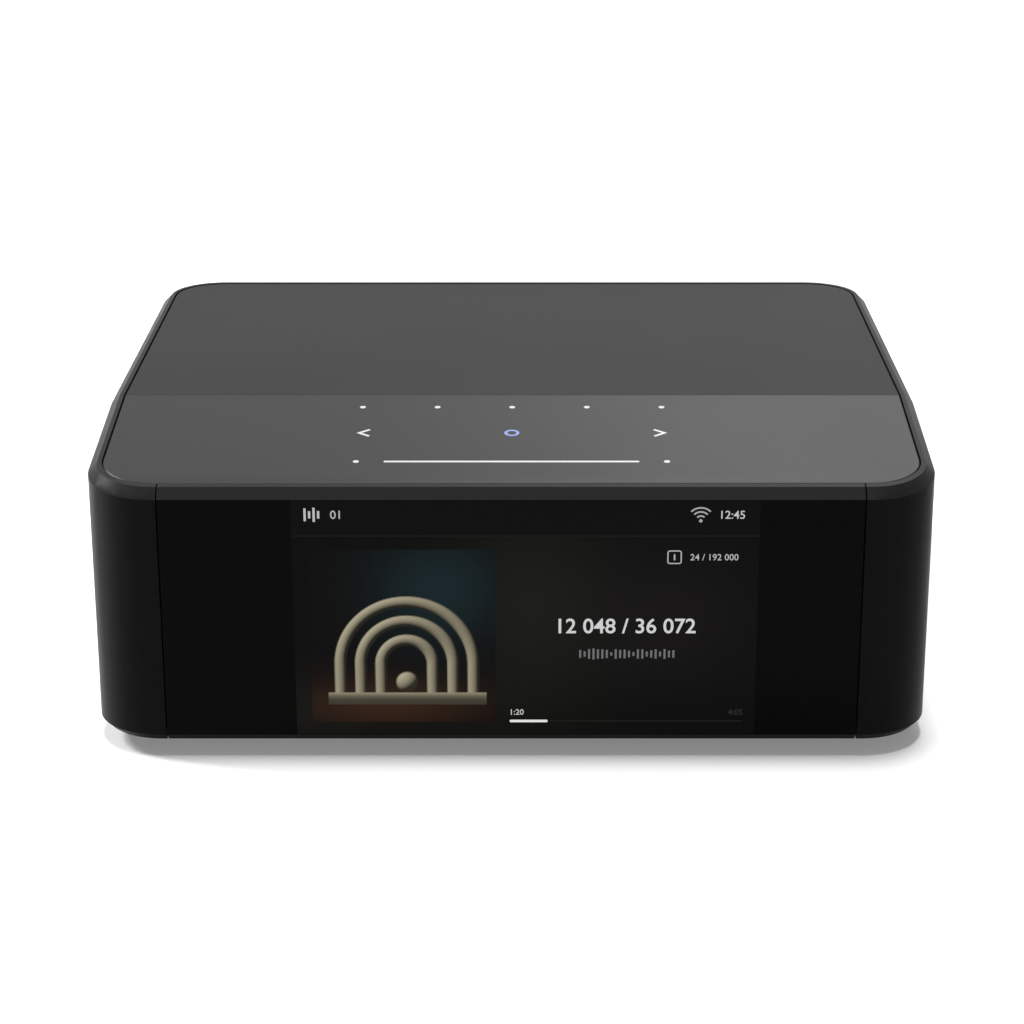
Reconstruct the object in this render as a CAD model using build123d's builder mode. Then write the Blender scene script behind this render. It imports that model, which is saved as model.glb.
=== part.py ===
from build123d import *

import os
from math import cos, pi, radians, sin, tan

# Network music streamer: a low desktop box whose top slopes down to the front.
# Millimetres. X runs to the right seen from the front, Y to the rear, Z up.
# The origin is the middle of the footprint, on the surface that the feet stand on.
os.makedirs("parts", exist_ok=True)

# Overall body
body_width = 220.0
body_depth = 188.0
body_height = 77.1
foot_height = 4.0
corner_radius = 18.0
slope_angle = 7.35
slope_depth = 59.7
top_chamfer = 2.45
base_chamfer = 2.0
wall = 3.0

# Gaps and general clearances
seam_gap = 0.35
panel_gap = 0.35
ridge_gap = 0.1
fit_gap = 0.2
loose_gap = 0.3
overrun = 2.0

# Top glass and cover
panel_thickness = 1.8
panel_drop = 0.1
front_rim = 4.7
side_rim = 3.9
rear_rim = 4.3
ledge_width = 3.2
ledge_thickness = 2.0
panel_edge = 0.25
clip_length = 9.0
clip_thickness = 1.2
clip_drop = 5.0
clip_pitch = 52.0

# Front window and display
seam_x = 90.3
front_glass_thickness = 1.5
display_x = 3.65
display_width = 119.5
display_border = 1.4
display_margin = 0.5
display_thickness = 2.0
backlight_thickness = 3.0
bracket_thickness = 1.0
bracket_side = 6.5
bracket_rib = 2.4
bracket_window_width = 46.0
frame_column = 9.0
frame_web = 2.5
cheek_inner = 6.2
cheek_outer = 5.0
cheek_thickness = 2.0
frame_screw_inset = 3.0
frame_screw_share = 0.32
bracket_screw_inset = 3.2
bracket_screw_share = 0.3

# Base and feet
base_recess = 0.6
base_thickness = 2.0
base_gap = 0.3
foot_radius = 9.0
foot_lip = 1.0
foot_side_inset = 26.0
foot_end_inset = 28.0
boss_radius = 4.2
boss_height = 14.0
boss_inset = 3.5
vent_rows = 7
vent_length = 26.0
vent_width = 2.4
vent_pitch = 5.2
vent_row_gap = 8.0
vent_center_x = 34.0
vent_center_y = 8.0

# Rear recess and panel
recess_depth = 10.0
recess_side_inset = 22.0
recess_low = 6.0
recess_high = 66.0
recess_radius = 3.0
recess_chamfer = 0.8
tunnel_wall = 2.0
lip_side = 4.4
lip_thickness = 2.0
lip_bottom = 3.9
rear_panel_thickness = 1.6
rear_screw_inset = 2.4

# Screws
screw_radius = 1.5
screw_head_radius = 2.8
screw_head_height = 1.8
screw_length = 6.0
screw_key_radius = 1.15
screw_key_depth = 1.1
screw_clearance = 0.06
small_screw_radius = 1.0
small_screw_head_radius = 1.9
small_screw_head_height = 1.2
small_screw_length = 3.2
small_screw_key_radius = 0.8
small_screw_key_depth = 0.8

# Circuit boards
board_thickness = 1.6
standoff_height = 6.0
standoff_radius = 2.9
board_corner = 1.5
board_hole_inset = 4.0
board_side_inset = 11.5
board_split = 4.0
main_front_inset = 22.0
main_rear_gap = 0.9
main_notch_width = 26.5
main_notch_depth = 28.0
power_width = 42.5
power_front_inset = 52.0
headphone_board_width = 24.5
headphone_board_depth = 27.0
analog_power_gap = 18.0
analog_depth = 48.0
analog_rear_inset = 22.0
analog_middle_reach = 60.0
analog_middle_inset = 8.0
analog_lift = 16.8

# Parts on the boards
processor_size = 21.0
processor_height = 1.4
processor_x = -20.0
processor_y = -26.0
sink_size = 46.0
sink_base = 3.0
sink_height = 15.0
sink_fin = 1.4
sink_fin_count = 9
wireless_width = 20.0
wireless_depth = 26.0
wireless_height = 3.0
wireless_side_inset = 24.0
wireless_y = -12.0
antenna_length = 42.0
antenna_width = 11.0
antenna_thickness = 0.8
antenna_side_inset = 48.0
antenna_rear_inset = 50.0
shield_width = 74.0
shield_depth = 14.0
shield_height = 6.0
shield_wall = 0.5
header_width = 30.0
header_depth = 5.0
header_x = -22.0
transformer_width = 30.0
transformer_depth = 13.0
transformer_core = 22.0
transformer_leg = 3.0
transformer_coil_radius = 11.0
transformer_coil_height = 16.0
transformer_y = -16.0
capacitor_radius = 8.0
capacitor_height = 26.0
capacitor_pitch = 18.0
capacitor_y = 16.0
capacitor_score = 0.5
power_sink_length = 34.0
power_sink_thickness = 3.0
power_sink_height = 26.0
power_sink_fin = 6.0
power_sink_fin_count = 5
power_sink_y = 44.0
power_sink_side_inset = 16.0
link_depth = 12.0
link_height = 6.0
link_overlap = 4.0
link_y = -10.0

# Touch sensor under the sloping glass
touch_half_width = 62.0
touch_front = 11.0
touch_rear = 9.0
sensor_thickness = 1.0
guide_thickness = 1.6
carrier_thickness = 1.2
carrier_edge = 3.0
icon_peg_radius = 1.5
dot_pitch = 20.25
dot_row = 51.0
arrow_half_span = 39.2
arrow_row = 34.3
slider_row = 17.0
slider_half_length = 33.2
slider_dot_half_span = 40.4
slider_width = 1.6
rail_half_depth = 6.0
rail_thickness = 1.6
rail_web = 1.6
rail_web_height = 9.0
rail_tab_start = 2.5
rail_tab_depth = 9.0
rail_tab_thickness = 1.6
rail_tab_reach = 2.6

# Flat ribbon cables
ribbon_thickness = 0.4
ribbon_bend = 3.0
ribbon_plug_depth = 5.0
ribbon_plug_height = 3.0
display_ribbon_width = 24.0
display_ribbon_x = 20.0
display_ribbon_rise = 22.0
touch_ribbon_width = 14.0
touch_ribbon_x = 40.0
touch_ribbon_inset = 40.0
touch_ribbon_bow = 7.0

# Sockets in general. Their insets run from the left edge of the recess, the mains inlet's from the right
socket_proud = 0.7
panel_hole_gap = 0.3
shell_skin = 0.8

# Ethernet socket
ethernet_inset = 14.0
ethernet_width = 16.0
ethernet_height = 13.4
ethernet_depth = 21.0
ethernet_bore_width = 11.8
ethernet_bore_height = 8.2
ethernet_bore_depth = 13.0
ethernet_bore_rise = 3.6
ethernet_notch_width = 6.0
ethernet_notch_height = 1.8

# Large and small data sockets
usb_a_inset = 32.5
usb_a_width = 14.4
usb_a_height = 7.2
usb_a_depth = 14.0
usb_a_tongue_width = 11.0
usb_a_tongue_height = 1.9
usb_a_tongue_depth = 8.8
usb_a_bore_depth = 10.0
hdmi_inset = 49.0
hdmi_width = 15.6
hdmi_height = 6.2
hdmi_depth = 12.0
hdmi_taper = 2.0
hdmi_tongue_width = 11.0
hdmi_tongue_height = 1.0
hdmi_tongue_depth = 6.4
hdmi_bore_depth = 8.0
usb_c_inset = 68.0
usb_c_width = 9.4
usb_c_height = 3.8
usb_c_depth = 8.0
usb_c_skin = 0.45
usb_c_tongue_width = 6.6
usb_c_tongue_height = 0.7
usb_c_tongue_depth = 5.0
usb_c_bore_depth = 6.2

# Optical sockets with sprung shutters
optical_in_inset = 84.0
optical_out_inset = 98.5
optical_sunk = 1.9
optical_width = 11.4
optical_height = 11.2
optical_depth = 15.0
optical_bore_width = 8.8
optical_bore_height = 8.8
optical_bore_depth = 12.0
shutter_setback = 1.4
shutter_thickness = 0.8
shutter_barrel_radius = 0.7
shutter_pin_radius = 0.5
shutter_pin_length = 0.9
shutter_pin_gap = 0.05
shutter_pin_play = 0.2
shutter_side_gap = 0.3
shutter_roof_gap = 0.35

# Small round jacks for trigger and remote eye
minijack_insets = (112.0, 123.0)
minijack_width = 8.4
minijack_height = 8.4
minijack_depth = 15.0
minijack_collar_radius = 3.4
minijack_bore_radius = 1.8
minijack_bore_depth = 14.5

# Recessed setup button
button_inset = 133.0
button_radius = 2.2
button_flange_radius = 3.2
button_flange = 0.9
button_stem_radius = 1.2
button_stem_gap = 0.08
button_stem_hold = 2.0
button_gap = 0.3
button_sink = 0.4
button_travel = 0.8
switch_width = 7.0
switch_depth = 6.0
switch_rise = 5.0
switch_top = 3.5

# Phono jacks
phono_insets = (12.0, 30.0, 48.0)
phono_width = 12.4
phono_depth = 13.0
phono_pitch = 14.0
phono_rise = 7.2
phono_radius = 4.15
phono_wall = 0.55
phono_proud = 8.4
phono_flange_radius = 5.6
phono_flange = 0.7
phono_core_gap = 0.1
phono_core_bore = 1.6
phono_core_setback = 0.6
phono_core_bore_depth = 7.0

# Balanced three-pin sockets
balanced_insets = (79.0, 108.0)
balanced_center_rise = 15.0
balanced_radius = 9.6
balanced_bore_radius = 8.2
balanced_bore_depth = 14.0
balanced_depth = 22.0
balanced_block_width = 21.5
balanced_block_top = 12.0
balanced_proud = 1.2
balanced_pin_radius = 1.2
balanced_pin_circle = 4.4
balanced_pin_length = 11.5
balanced_pin_tip = 0.5
balanced_pin_count = 3
balanced_first_pin_angle = 30.0

# Mains inlet
mains_inset = 18.0
mains_width = 24.0
mains_height = 16.5
mains_depth = 22.0
mains_bore_radius = 4.1
mains_bore_pitch = 8.6
mains_bore_depth = 15.0
mains_bore_rise = 9.0
mains_pin_radius = 1.2
mains_pin_length = 10.5
mains_pin_tip = 0.5

# Headphone jacks in the two sides
headphone_inset = 32.0
headphone_rise = 7.0
headphone_width = 14.0
headphone_height = 13.6
headphone_length = 27.0
headphone_collar_radius = 5.6
headphone_collar_gap = 0.15
headphone_bore_radius = 3.25
headphone_bore_depth = 26.0
headphone_lead_in = 0.5

# Places that follow from the sizes above
front_y = -body_depth / 2
rear_y = body_depth / 2
base_z = foot_height
top_z = foot_height + body_height
ridge_y = front_y + slope_depth
slope = tan(radians(slope_angle))
front_edge_z = top_z - slope_depth * slope
frame_depth = front_glass_thickness + display_thickness + backlight_thickness
frame_back_y = front_y + frame_depth
bracket_back_y = frame_back_y + bracket_thickness
glass_low = base_z + base_chamfer
glass_high = front_edge_z - top_chamfer
panel_floor = panel_drop + panel_thickness
base_top = base_z + base_recess + base_thickness
board_z = base_top + standoff_height
board_top = board_z + board_thickness
analog_z = board_top + analog_lift
analog_top = analog_z + board_thickness
recess_low_z = base_z + recess_low
recess_high_z = base_z + recess_high
rear_face_y = rear_y - recess_depth
rear_inner_y = rear_face_y - rear_panel_thickness
lip_inner_y = rear_inner_y - lip_thickness
board_rear_y = lip_inner_y - main_rear_gap
analog_front_y = board_rear_y - analog_depth
socket_face_y = rear_face_y + socket_proud
optical_face_y = socket_face_y - optical_sunk
side_x = body_width / 2
foot_x, foot_y = side_x - foot_side_inset, rear_y - foot_end_inset
recess_half_width = side_x - recess_side_inset
power_right = side_x - board_side_inset
power_left = power_right - power_width
power_front = front_y + power_front_inset
main_left, main_right = -power_right, power_left - board_split
main_front = front_y + main_front_inset
main_notch_x, main_notch_y = main_left + main_notch_width, main_front + main_notch_depth
headphone_board_outer = power_right
headphone_board_inner = headphone_board_outer - headphone_board_width
headphone_y = front_y + headphone_inset
analog_left, analog_right = -recess_half_width, power_left - analog_power_gap
analog_middle_x = analog_left + analog_middle_reach
wireless_x = wireless_side_inset - side_x
antenna_x, antenna_y = side_x - antenna_side_inset, rear_y - antenna_rear_inset
power_sink_x = side_x - power_sink_side_inset
touch_ribbon_y = front_y + touch_ribbon_inset
ethernet_x = ethernet_inset - recess_half_width
usb_a_x = usb_a_inset - recess_half_width
hdmi_x = hdmi_inset - recess_half_width
usb_c_x = usb_c_inset - recess_half_width
optical_in_x = optical_in_inset - recess_half_width
optical_out_x = optical_out_inset - recess_half_width
minijack_xs = [inset - recess_half_width for inset in minijack_insets]
button_x = button_inset - recess_half_width
phono_xs = [inset - recess_half_width for inset in phono_insets]
balanced_xs = [inset - recess_half_width for inset in balanced_insets]
mains_x = recess_half_width - mains_inset


def keep(builder, name):
    """Label a finished piece and write it as its own file."""
    builder.part.label = name
    export_step(builder.part, f"parts/{name}.step")


def block(x_low, x_high, y_low, y_high, z_low, z_high, mode=Mode.ADD):
    """A block between two corners, in the part that is being built."""
    middle = ((x_low + x_high) / 2, (y_low + y_high) / 2, (z_low + z_high) / 2)
    with Locations(middle):
        Box(x_high - x_low, y_high - y_low, z_high - z_low, mode=mode)


def upright(points, radius, z_low, z_high, mode=Mode.ADD):
    """Round posts or holes along Z at a list of plan points."""
    with BuildSketch(Plane.XY.offset(z_low)) as ends:
        with Locations(*points):
            Circle(radius)
    extrude(ends.sketch, amount=z_high - z_low, mode=mode)


def lengthwise(points, radius, y_low, y_high, mode=Mode.ADD):
    """Round posts or holes along Y at a list of points seen from the front."""
    with BuildSketch(Plane.XZ.offset(-y_high)) as ends:
        with Locations(*points):
            Circle(radius)
    extrude(ends.sketch, amount=y_high - y_low, mode=mode)


def crosswise(y, z, radius, x_low, x_high, mode=Mode.ADD):
    """A round post or hole along X."""
    with BuildSketch(Plane.YZ.offset(x_low)) as end:
        with Locations((y, z)):
            Circle(radius)
    extrude(end.sketch, amount=x_high - x_low, mode=mode)


def top_at(y, drop):
    """Height of the bent top at a depth, lowered by a drop."""
    return top_z - drop - max(ridge_y - y, 0) * slope


def bent_layer(y_low, y_high, upper_drop, lower_drop, mode):
    """A full-width layer that follows the bend of the top between two drops."""
    upper = [(y_low, top_at(y_low, upper_drop)), (y_high, top_at(y_high, upper_drop))]
    lower = [(y_high, top_at(y_high, lower_drop)), (y_low, top_at(y_low, lower_drop))]
    if y_low < ridge_y < y_high:
        upper.insert(1, (ridge_y, top_z - upper_drop))
        lower.insert(1, (ridge_y, top_z - lower_drop))
    with BuildSketch(Plane.YZ) as section:
        with BuildLine():
            Polyline(*upper, *lower, close=True)
        make_face()
    extrude(section.sketch, amount=body_width, both=True, mode=mode)


def body_form(inset, drop, z_low):
    """The body's plain form, drawn in at its sides and lowered at its top."""
    with BuildPart() as form:
        with BuildSketch(Plane.XY.offset(z_low)):
            RectangleRounded(body_width - 2 * inset, body_depth - 2 * inset, corner_radius - inset)
        extrude(amount=top_z - drop - z_low)
        bent_layer(front_y - overrun, rear_y + overrun, drop, top_z - z_low, Mode.INTERSECT)
    return form


def panel_form(grow, upper_drop, lower_drop):
    """The outline of the top panels, grown by a gap, as a layer that follows the bend."""
    panel_front = front_y + front_rim - grow
    panel_rear = rear_y - rear_rim + grow
    with BuildPart() as form:
        with BuildSketch(Plane.XY.offset(base_z)):
            with Locations((0, (panel_front + panel_rear) / 2)):
                RectangleRounded(
                    body_width - 2 * side_rim + 2 * grow,
                    panel_rear - panel_front,
                    corner_radius - side_rim + grow,
                )
        extrude(amount=body_height + overrun)
        bent_layer(panel_front - overrun, panel_rear + overrun, upper_drop, lower_drop, Mode.INTERSECT)
    return form


def is_rim_edge(edge):
    """Whether an edge of a top face lies on the outline, not along the ridge."""
    return abs(edge.center().Y - ridge_y) > seam_gap or edge.length < body_width / 2


# Outer form, shared by the shell and the front frame
body = body_form(0, 0, base_z)
with BuildPart() as outer_body:
    add(body.part)
    top_faces = outer_body.faces().filter_by(lambda face: face.normal_at().Z > slope)
    rim_edges = top_faces.edges().filter_by(is_rim_edge)
    base_edges = outer_body.faces().sort_by(Axis.Z)[0].edges()
    chamfer(rim_edges, top_chamfer)
    chamfer(base_edges, base_chamfer)

pocket = panel_form(panel_gap, -overrun, panel_floor)
ledge_hole = panel_form(-ledge_width, -overrun, panel_floor + ledge_thickness + overrun)
inside = body_form(wall, panel_floor + ledge_thickness, base_z - overrun)

# Where the screws go
corner_reach = (corner_radius - wall - boss_inset) * cos(pi / 4)
boss_x = side_x - corner_radius + corner_reach
boss_y = rear_y - corner_radius + corner_reach
side_boss_x = side_x - wall - boss_inset
boss_points = [(x * boss_x, y * boss_y) for x in (-1, 1) for y in (-1, 1)]
boss_points += [(-side_boss_x, 0), (side_boss_x, 0)]

frame_screw_x = seam_x - frame_screw_inset
frame_middle_z = (glass_low + glass_high) / 2
frame_screw_span = (glass_high - glass_low) * frame_screw_share
frame_screw_points = [
    (x * frame_screw_x, frame_middle_z + z * frame_screw_span) for x in (-1, 1) for z in (-1, 1)
]

lip_x = recess_half_width - rear_screw_inset
lip_middle_z = (recess_low_z + recess_high_z) / 2
lip_high_z = recess_high_z - rear_screw_inset
rear_screw_points = [(x * lip_x, z) for x in (-1, 1) for z in (lip_middle_z, lip_high_z)]
rear_screw_points += [(0, lip_high_z)]
rear_screw_points += [(x * lip_x, recess_low_z + recess_radius + rear_screw_inset) for x in (-1, 1)]


def recess_form(inset, y_low, y_high, low_extra=0):
    """A round-cornered block along Y, drawn in from the edge of the rear recess."""
    low = recess_low_z + inset - low_extra
    high = recess_high_z - inset
    with BuildPart() as form:
        with BuildSketch(Plane.XZ.offset(-y_high)):
            with Locations((0, (low + high) / 2)):
                RectangleRounded(2 * (recess_half_width - inset), high - low, recess_radius)
        extrude(amount=y_high - y_low)
    return form


recess_tunnel = recess_form(-tunnel_wall, lip_inner_y, rear_y - wall / 2)
recess_room = recess_form(0, rear_inner_y, rear_y + overrun)
recess_mouth = recess_form(lip_side, lip_inner_y - overrun, rear_y, lip_side - lip_bottom)

# Side shell: both sides, the four corners, the rear frame and the rim
half_front = seam_x + seam_gap / 2
half_frame = seam_x - seam_gap / 2
headphone_z = board_top + headphone_rise
ledge_inner_x = side_x - side_rim - ledge_width
ledge_middle_x = (ledge_inner_x + side_x - side_rim + panel_gap) / 2
ledge_under_z = top_z - panel_floor - ledge_thickness
rail_tab_low = ridge_y + rail_tab_start
rail_tab_points = [(x * ledge_middle_x, rail_tab_low + rail_tab_depth / 2) for x in (-1, 1)]
cheek_top = top_at(front_y, panel_floor + ledge_thickness)
cheek_back_y = frame_back_y + cheek_thickness
screw_hole = screw_radius + screw_clearance
small_screw_hole = small_screw_radius + screw_clearance
headphone_hole = headphone_collar_radius + headphone_collar_gap


def cheek(side):
    """The flange behind one end of the front frame, on a post that joins the shell's corner."""
    flange_xs = sorted((side * (seam_x - cheek_inner), side * (seam_x + cheek_outer)))
    post_xs = sorted((side * (seam_x + seam_gap), side * (seam_x + cheek_outer)))
    block(*flange_xs, frame_back_y, cheek_back_y, base_top, cheek_top)
    block(*post_xs, front_y + wall / 2, cheek_back_y, base_top, cheek_top)


with BuildPart() as side_shell:
    add(outer_body.part)
    add(inside.part, mode=Mode.SUBTRACT)
    add(pocket.part, mode=Mode.SUBTRACT)
    add(ledge_hole.part, mode=Mode.SUBTRACT)
    upright(boss_points, boss_radius, base_top, base_top + boss_height)
    add(recess_tunnel.part)
    cheek(-1)
    cheek(1)
    bay_low, bay_high = base_z - overrun, top_z + overrun
    rim_bay_y = front_y + front_rim + ledge_width + overrun
    block(-half_front, half_front, front_y - overrun, frame_back_y, bay_low, bay_high, Mode.SUBTRACT)
    block(-half_front, half_front, front_y - overrun, rim_bay_y, cheek_top, bay_high, Mode.SUBTRACT)
    add(recess_room.part, mode=Mode.SUBTRACT)
    add(recess_mouth.part, mode=Mode.SUBTRACT)
    chamfer(side_shell.faces().sort_by(Axis.Y)[-1].inner_wires()[0].edges(), recess_chamfer)
    upright(boss_points, screw_hole, base_top, base_z + base_recess + screw_length, Mode.SUBTRACT)
    lengthwise(frame_screw_points, screw_hole, frame_back_y, cheek_back_y, Mode.SUBTRACT)
    lengthwise(rear_screw_points, small_screw_hole, lip_inner_y, rear_inner_y, Mode.SUBTRACT)
    rail_hole_z = ledge_under_z - rail_tab_thickness + small_screw_length
    upright(rail_tab_points, small_screw_hole, ledge_under_z, rail_hole_z, Mode.SUBTRACT)
    crosswise(headphone_y, headphone_z, headphone_hole, -side_x, side_x, Mode.SUBTRACT)
keep(side_shell, "side_shell")

# Front frame: carries the window and the display, and closes the rim between the seams
display_left = display_x - display_width / 2 - display_border
display_right = display_x + display_width / 2 + display_border
window_low = glass_low + display_margin
window_high = glass_high - display_margin
bracket_left = display_left - bracket_side
bracket_right = display_right + bracket_side
column_x = seam_x - frame_column
bracket_screw_span = (window_high - window_low) * bracket_screw_share
bracket_screw_points = [
    (x, frame_middle_z + z * bracket_screw_span)
    for x in (bracket_left + bracket_screw_inset, bracket_right - bracket_screw_inset)
    for z in (-1, 1)
]
frame_screw_end = cheek_back_y - screw_length
bracket_screw_end = bracket_back_y - small_screw_length
with BuildPart() as front_frame:
    add(outer_body.part)
    block(-half_frame, half_frame, front_y - overrun, frame_back_y, bay_low, bay_high, Mode.INTERSECT)
    add(pocket.part, mode=Mode.SUBTRACT)
    glass_back_y = front_y + front_glass_thickness
    block(-side_x, side_x, front_y - overrun, glass_back_y, glass_low, glass_high, Mode.SUBTRACT)
    window_xs = (display_left - fit_gap, display_right + fit_gap)
    block(*window_xs, front_y, frame_back_y + overrun, window_low, window_high, Mode.SUBTRACT)
    for pocket_xs in ((-column_x, bracket_left - fit_gap), (bracket_right + fit_gap, column_x)):
        web_y = glass_back_y + frame_web
        block(*pocket_xs, web_y, frame_back_y + overrun, window_low, window_high, Mode.SUBTRACT)
    lengthwise(frame_screw_points, screw_hole, frame_screw_end, frame_back_y, Mode.SUBTRACT)
    lengthwise(bracket_screw_points, small_screw_hole, bracket_screw_end, frame_back_y, Mode.SUBTRACT)
keep(front_frame, "front_frame")

# Front glass: the dark window, flush with the front and ending at the two seams
with BuildPart() as front_glass:
    block(-half_frame, half_frame, front_y, glass_back_y, glass_low, glass_high)
keep(front_glass, "front_glass")

# Display: cell behind the window, backlight behind the cell
cell_low, cell_high = window_low + fit_gap, window_high - fit_gap
cell_back_y = glass_back_y + display_thickness
with BuildPart() as display_panel:
    block(display_left, display_right, glass_back_y, cell_back_y, cell_low, cell_high)
keep(display_panel, "display_panel")

with BuildPart() as display_backlight:
    block(display_left, display_right, cell_back_y, frame_back_y, cell_low, cell_high)
    fillet(display_backlight.edges().filter_by(Axis.Y), board_corner)
keep(display_backlight, "display_backlight")

# Display bracket: a plate over the backlight, notched for the ribbon and stiffened by two ribs
notch_high = board_top + display_ribbon_rise
with BuildPart() as display_bracket:
    block(bracket_left, bracket_right, frame_back_y, bracket_back_y, window_low, window_high)
    notch_xs = [display_ribbon_x + x * bracket_window_width / 2 for x in (-1, 1)]
    block(*notch_xs, frame_back_y, bracket_back_y, window_low, notch_high, Mode.SUBTRACT)
    rib_back_y = bracket_back_y + bracket_rib
    for rib_z in (notch_high, window_high - bracket_screw_inset):
        block(display_left, display_right, bracket_back_y, rib_back_y, rib_z, rib_z + bracket_thickness)
    lengthwise(bracket_screw_points, small_screw_hole, frame_back_y, bracket_back_y, Mode.SUBTRACT)
keep(display_bracket, "display_bracket")

# Touch glass: the sloping front of the top
ridge_half_gap = ridge_gap / 2
panel_outline = panel_form(0, panel_drop, panel_floor)
with BuildPart() as touch_glass:
    add(panel_outline.part)
    block(
        -side_x, side_x, front_y, ridge_y - ridge_half_gap, base_z, top_z + overrun, Mode.INTERSECT
    )
    touch_top = touch_glass.faces().filter_by(lambda face: face.normal_at().Z > slope)
    chamfer(touch_top.edges().filter_by(is_rim_edge), panel_edge)
keep(touch_glass, "touch_glass")

# Top cover: the level rear part of the top, held by clips inside the ledge
cover_middle_y = (ridge_y + rear_y - rear_rim) / 2
clip_outer = ledge_inner_x - loose_gap
with BuildPart() as top_cover:
    add(panel_outline.part)
    block(-side_x, side_x, ridge_y + ridge_half_gap, rear_y, base_z, top_z + overrun, Mode.INTERSECT)
    cover_top = top_cover.faces().sort_by(Axis.Z)[-1]
    chamfer(cover_top.edges().filter_by(is_rim_edge), panel_edge)
    for side in (-1, 1):
        clip_xs = sorted((side * clip_outer, side * (clip_outer - clip_thickness)))
        for row in (-1, 1):
            clip_y = cover_middle_y + row * clip_pitch / 2
            clip_low, clip_high = top_z - panel_floor - clip_drop, top_z - panel_floor
            block(*clip_xs, clip_y - clip_length / 2, clip_y + clip_length / 2, clip_low, clip_high)
keep(top_cover, "top_cover")

# Base plate: vented sheet inside the foot of the shell
vent_half_gap = (vent_length + vent_row_gap) / 2
with BuildPart() as base_plate:
    with BuildSketch(Plane.XY.offset(base_z + base_recess)):
        inset = wall + base_gap
        RectangleRounded(body_width - 2 * inset, body_depth - 2 * inset, corner_radius - inset)
        with Locations(*boss_points):
            Circle(screw_hole, mode=Mode.SUBTRACT)
        with Locations((-vent_center_x, vent_center_y), (vent_center_x, vent_center_y)):
            with GridLocations(2 * vent_half_gap, vent_pitch, 2, vent_rows):
                SlotOverall(vent_length, vent_width, mode=Mode.SUBTRACT)
    extrude(amount=base_thickness)
    notch_x = seam_x + seam_gap + base_gap
    notch_y = bracket_back_y + base_gap
    block(-notch_x, notch_x, front_y, notch_y, base_z, base_top + overrun, Mode.SUBTRACT)
keep(base_plate, "base_plate")

# Feet: four rubber discs under the base plate, set in from the edges
foot_points = [(x * foot_x, y * foot_y) for x in (-1, 1) for y in (-1, 1)]
with BuildPart() as feet:
    upright(foot_points, foot_radius, 0, base_z + base_recess)
    chamfer(feet.faces().group_by(Axis.Z)[0].edges(), foot_lip)
keep(feet, "feet")


# Screws, drawn once head up and then set in place
def screw_form(radius, head_radius, head_height, length, key_radius, key_depth):
    """A pan-head screw with its head above the plane and a six-lobed socket cut as a hexagon."""
    with BuildPart() as screw:
        with BuildSketch():
            Circle(head_radius)
        extrude(amount=head_height)
        fillet(screw.faces().sort_by(Axis.Z)[-1].edges(), head_height / 2)
        with BuildSketch():
            Circle(radius)
        extrude(amount=-length)
        with BuildSketch(Plane.XY.offset(head_height)):
            RegularPolygon(key_radius, 6)
        extrude(amount=-key_depth, mode=Mode.SUBTRACT)
    return screw.part


screw = screw_form(
    screw_radius, screw_head_radius, screw_head_height, screw_length, screw_key_radius, screw_key_depth
)
small_screw = screw_form(
    small_screw_radius,
    small_screw_head_radius,
    small_screw_head_height,
    small_screw_length,
    small_screw_key_radius,
    small_screw_key_depth,
)
head_down, head_rear = (180, 0, 0), (-90, 0, 0)

with BuildPart() as base_screws:
    with Locations(*[Location((x, y, base_z + base_recess), head_down) for x, y in boss_points]):
        add(screw)
keep(base_screws, "base_screws")

with BuildPart() as frame_screws:
    with Locations(*[Location((x, cheek_back_y, z), head_rear) for x, z in frame_screw_points]):
        add(screw)
keep(frame_screws, "frame_screws")

with BuildPart() as rear_screws:
    with Locations(*[Location((x, rear_face_y, z), head_rear) for x, z in rear_screw_points]):
        add(small_screw)
keep(rear_screws, "rear_screws")

rail_tab_z = ledge_under_z - rail_tab_thickness
with BuildPart() as bracket_screws:
    with Locations(*[Location((x, bracket_back_y, z), head_rear) for x, z in bracket_screw_points]):
        add(small_screw)
    with Locations(*[Location((x, y, rail_tab_z), head_down) for x, y in rail_tab_points]):
        add(small_screw)
keep(bracket_screws, "bracket_screws")

# Ridge rail: the cross bar under the joint between the touch glass and the cover
rail_end = ledge_inner_x - loose_gap
rail_floor = panel_floor + rail_thickness
with BuildPart() as ridge_rail:
    block(-rail_end, rail_end, ridge_y - rail_half_depth, ridge_y + rail_half_depth, base_z, top_z)
    bent_layer(front_y, rear_y, panel_floor, rail_floor, Mode.INTERSECT)
    web_high = top_at(ridge_y - rail_web, panel_floor + rail_thickness / 2)
    block(-rail_end, rail_end, ridge_y, ridge_y + rail_web, web_high - rail_web_height, web_high)
    for side in (-1, 1):
        tab_end_xs = sorted((side * (rail_end - rail_tab_reach), side * rail_end))
        tab_xs = sorted((side * (rail_end - rail_tab_reach), side * (side_x - wall - loose_gap)))
        tab_ys = (rail_tab_low, rail_tab_low + rail_tab_depth)
        block(*tab_end_xs, *tab_ys, rail_tab_z, top_z - panel_floor)
        block(*tab_xs, *tab_ys, rail_tab_z, ledge_under_z)
    upright(rail_tab_points, small_screw_hole, rail_tab_z, ledge_under_z, Mode.SUBTRACT)
keep(ridge_rail, "ridge_rail")

# Touch sensor, light guide and carrier: three sheets bonded under the sloping glass
touch_low_y, touch_high_y = front_y + touch_front, ridge_y - touch_rear
sensor_floor = panel_floor + sensor_thickness
guide_floor = sensor_floor + guide_thickness
carrier_floor = guide_floor + carrier_thickness
icon_points = [(column * dot_pitch, front_y + dot_row) for column in (-2, -1, 0, 1, 2)]
icon_points += [(x * arrow_half_span, front_y + arrow_row) for x in (-1, 0, 1)]
icon_points += [(x * slider_dot_half_span, front_y + slider_row) for x in (-1, 1)]


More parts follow.
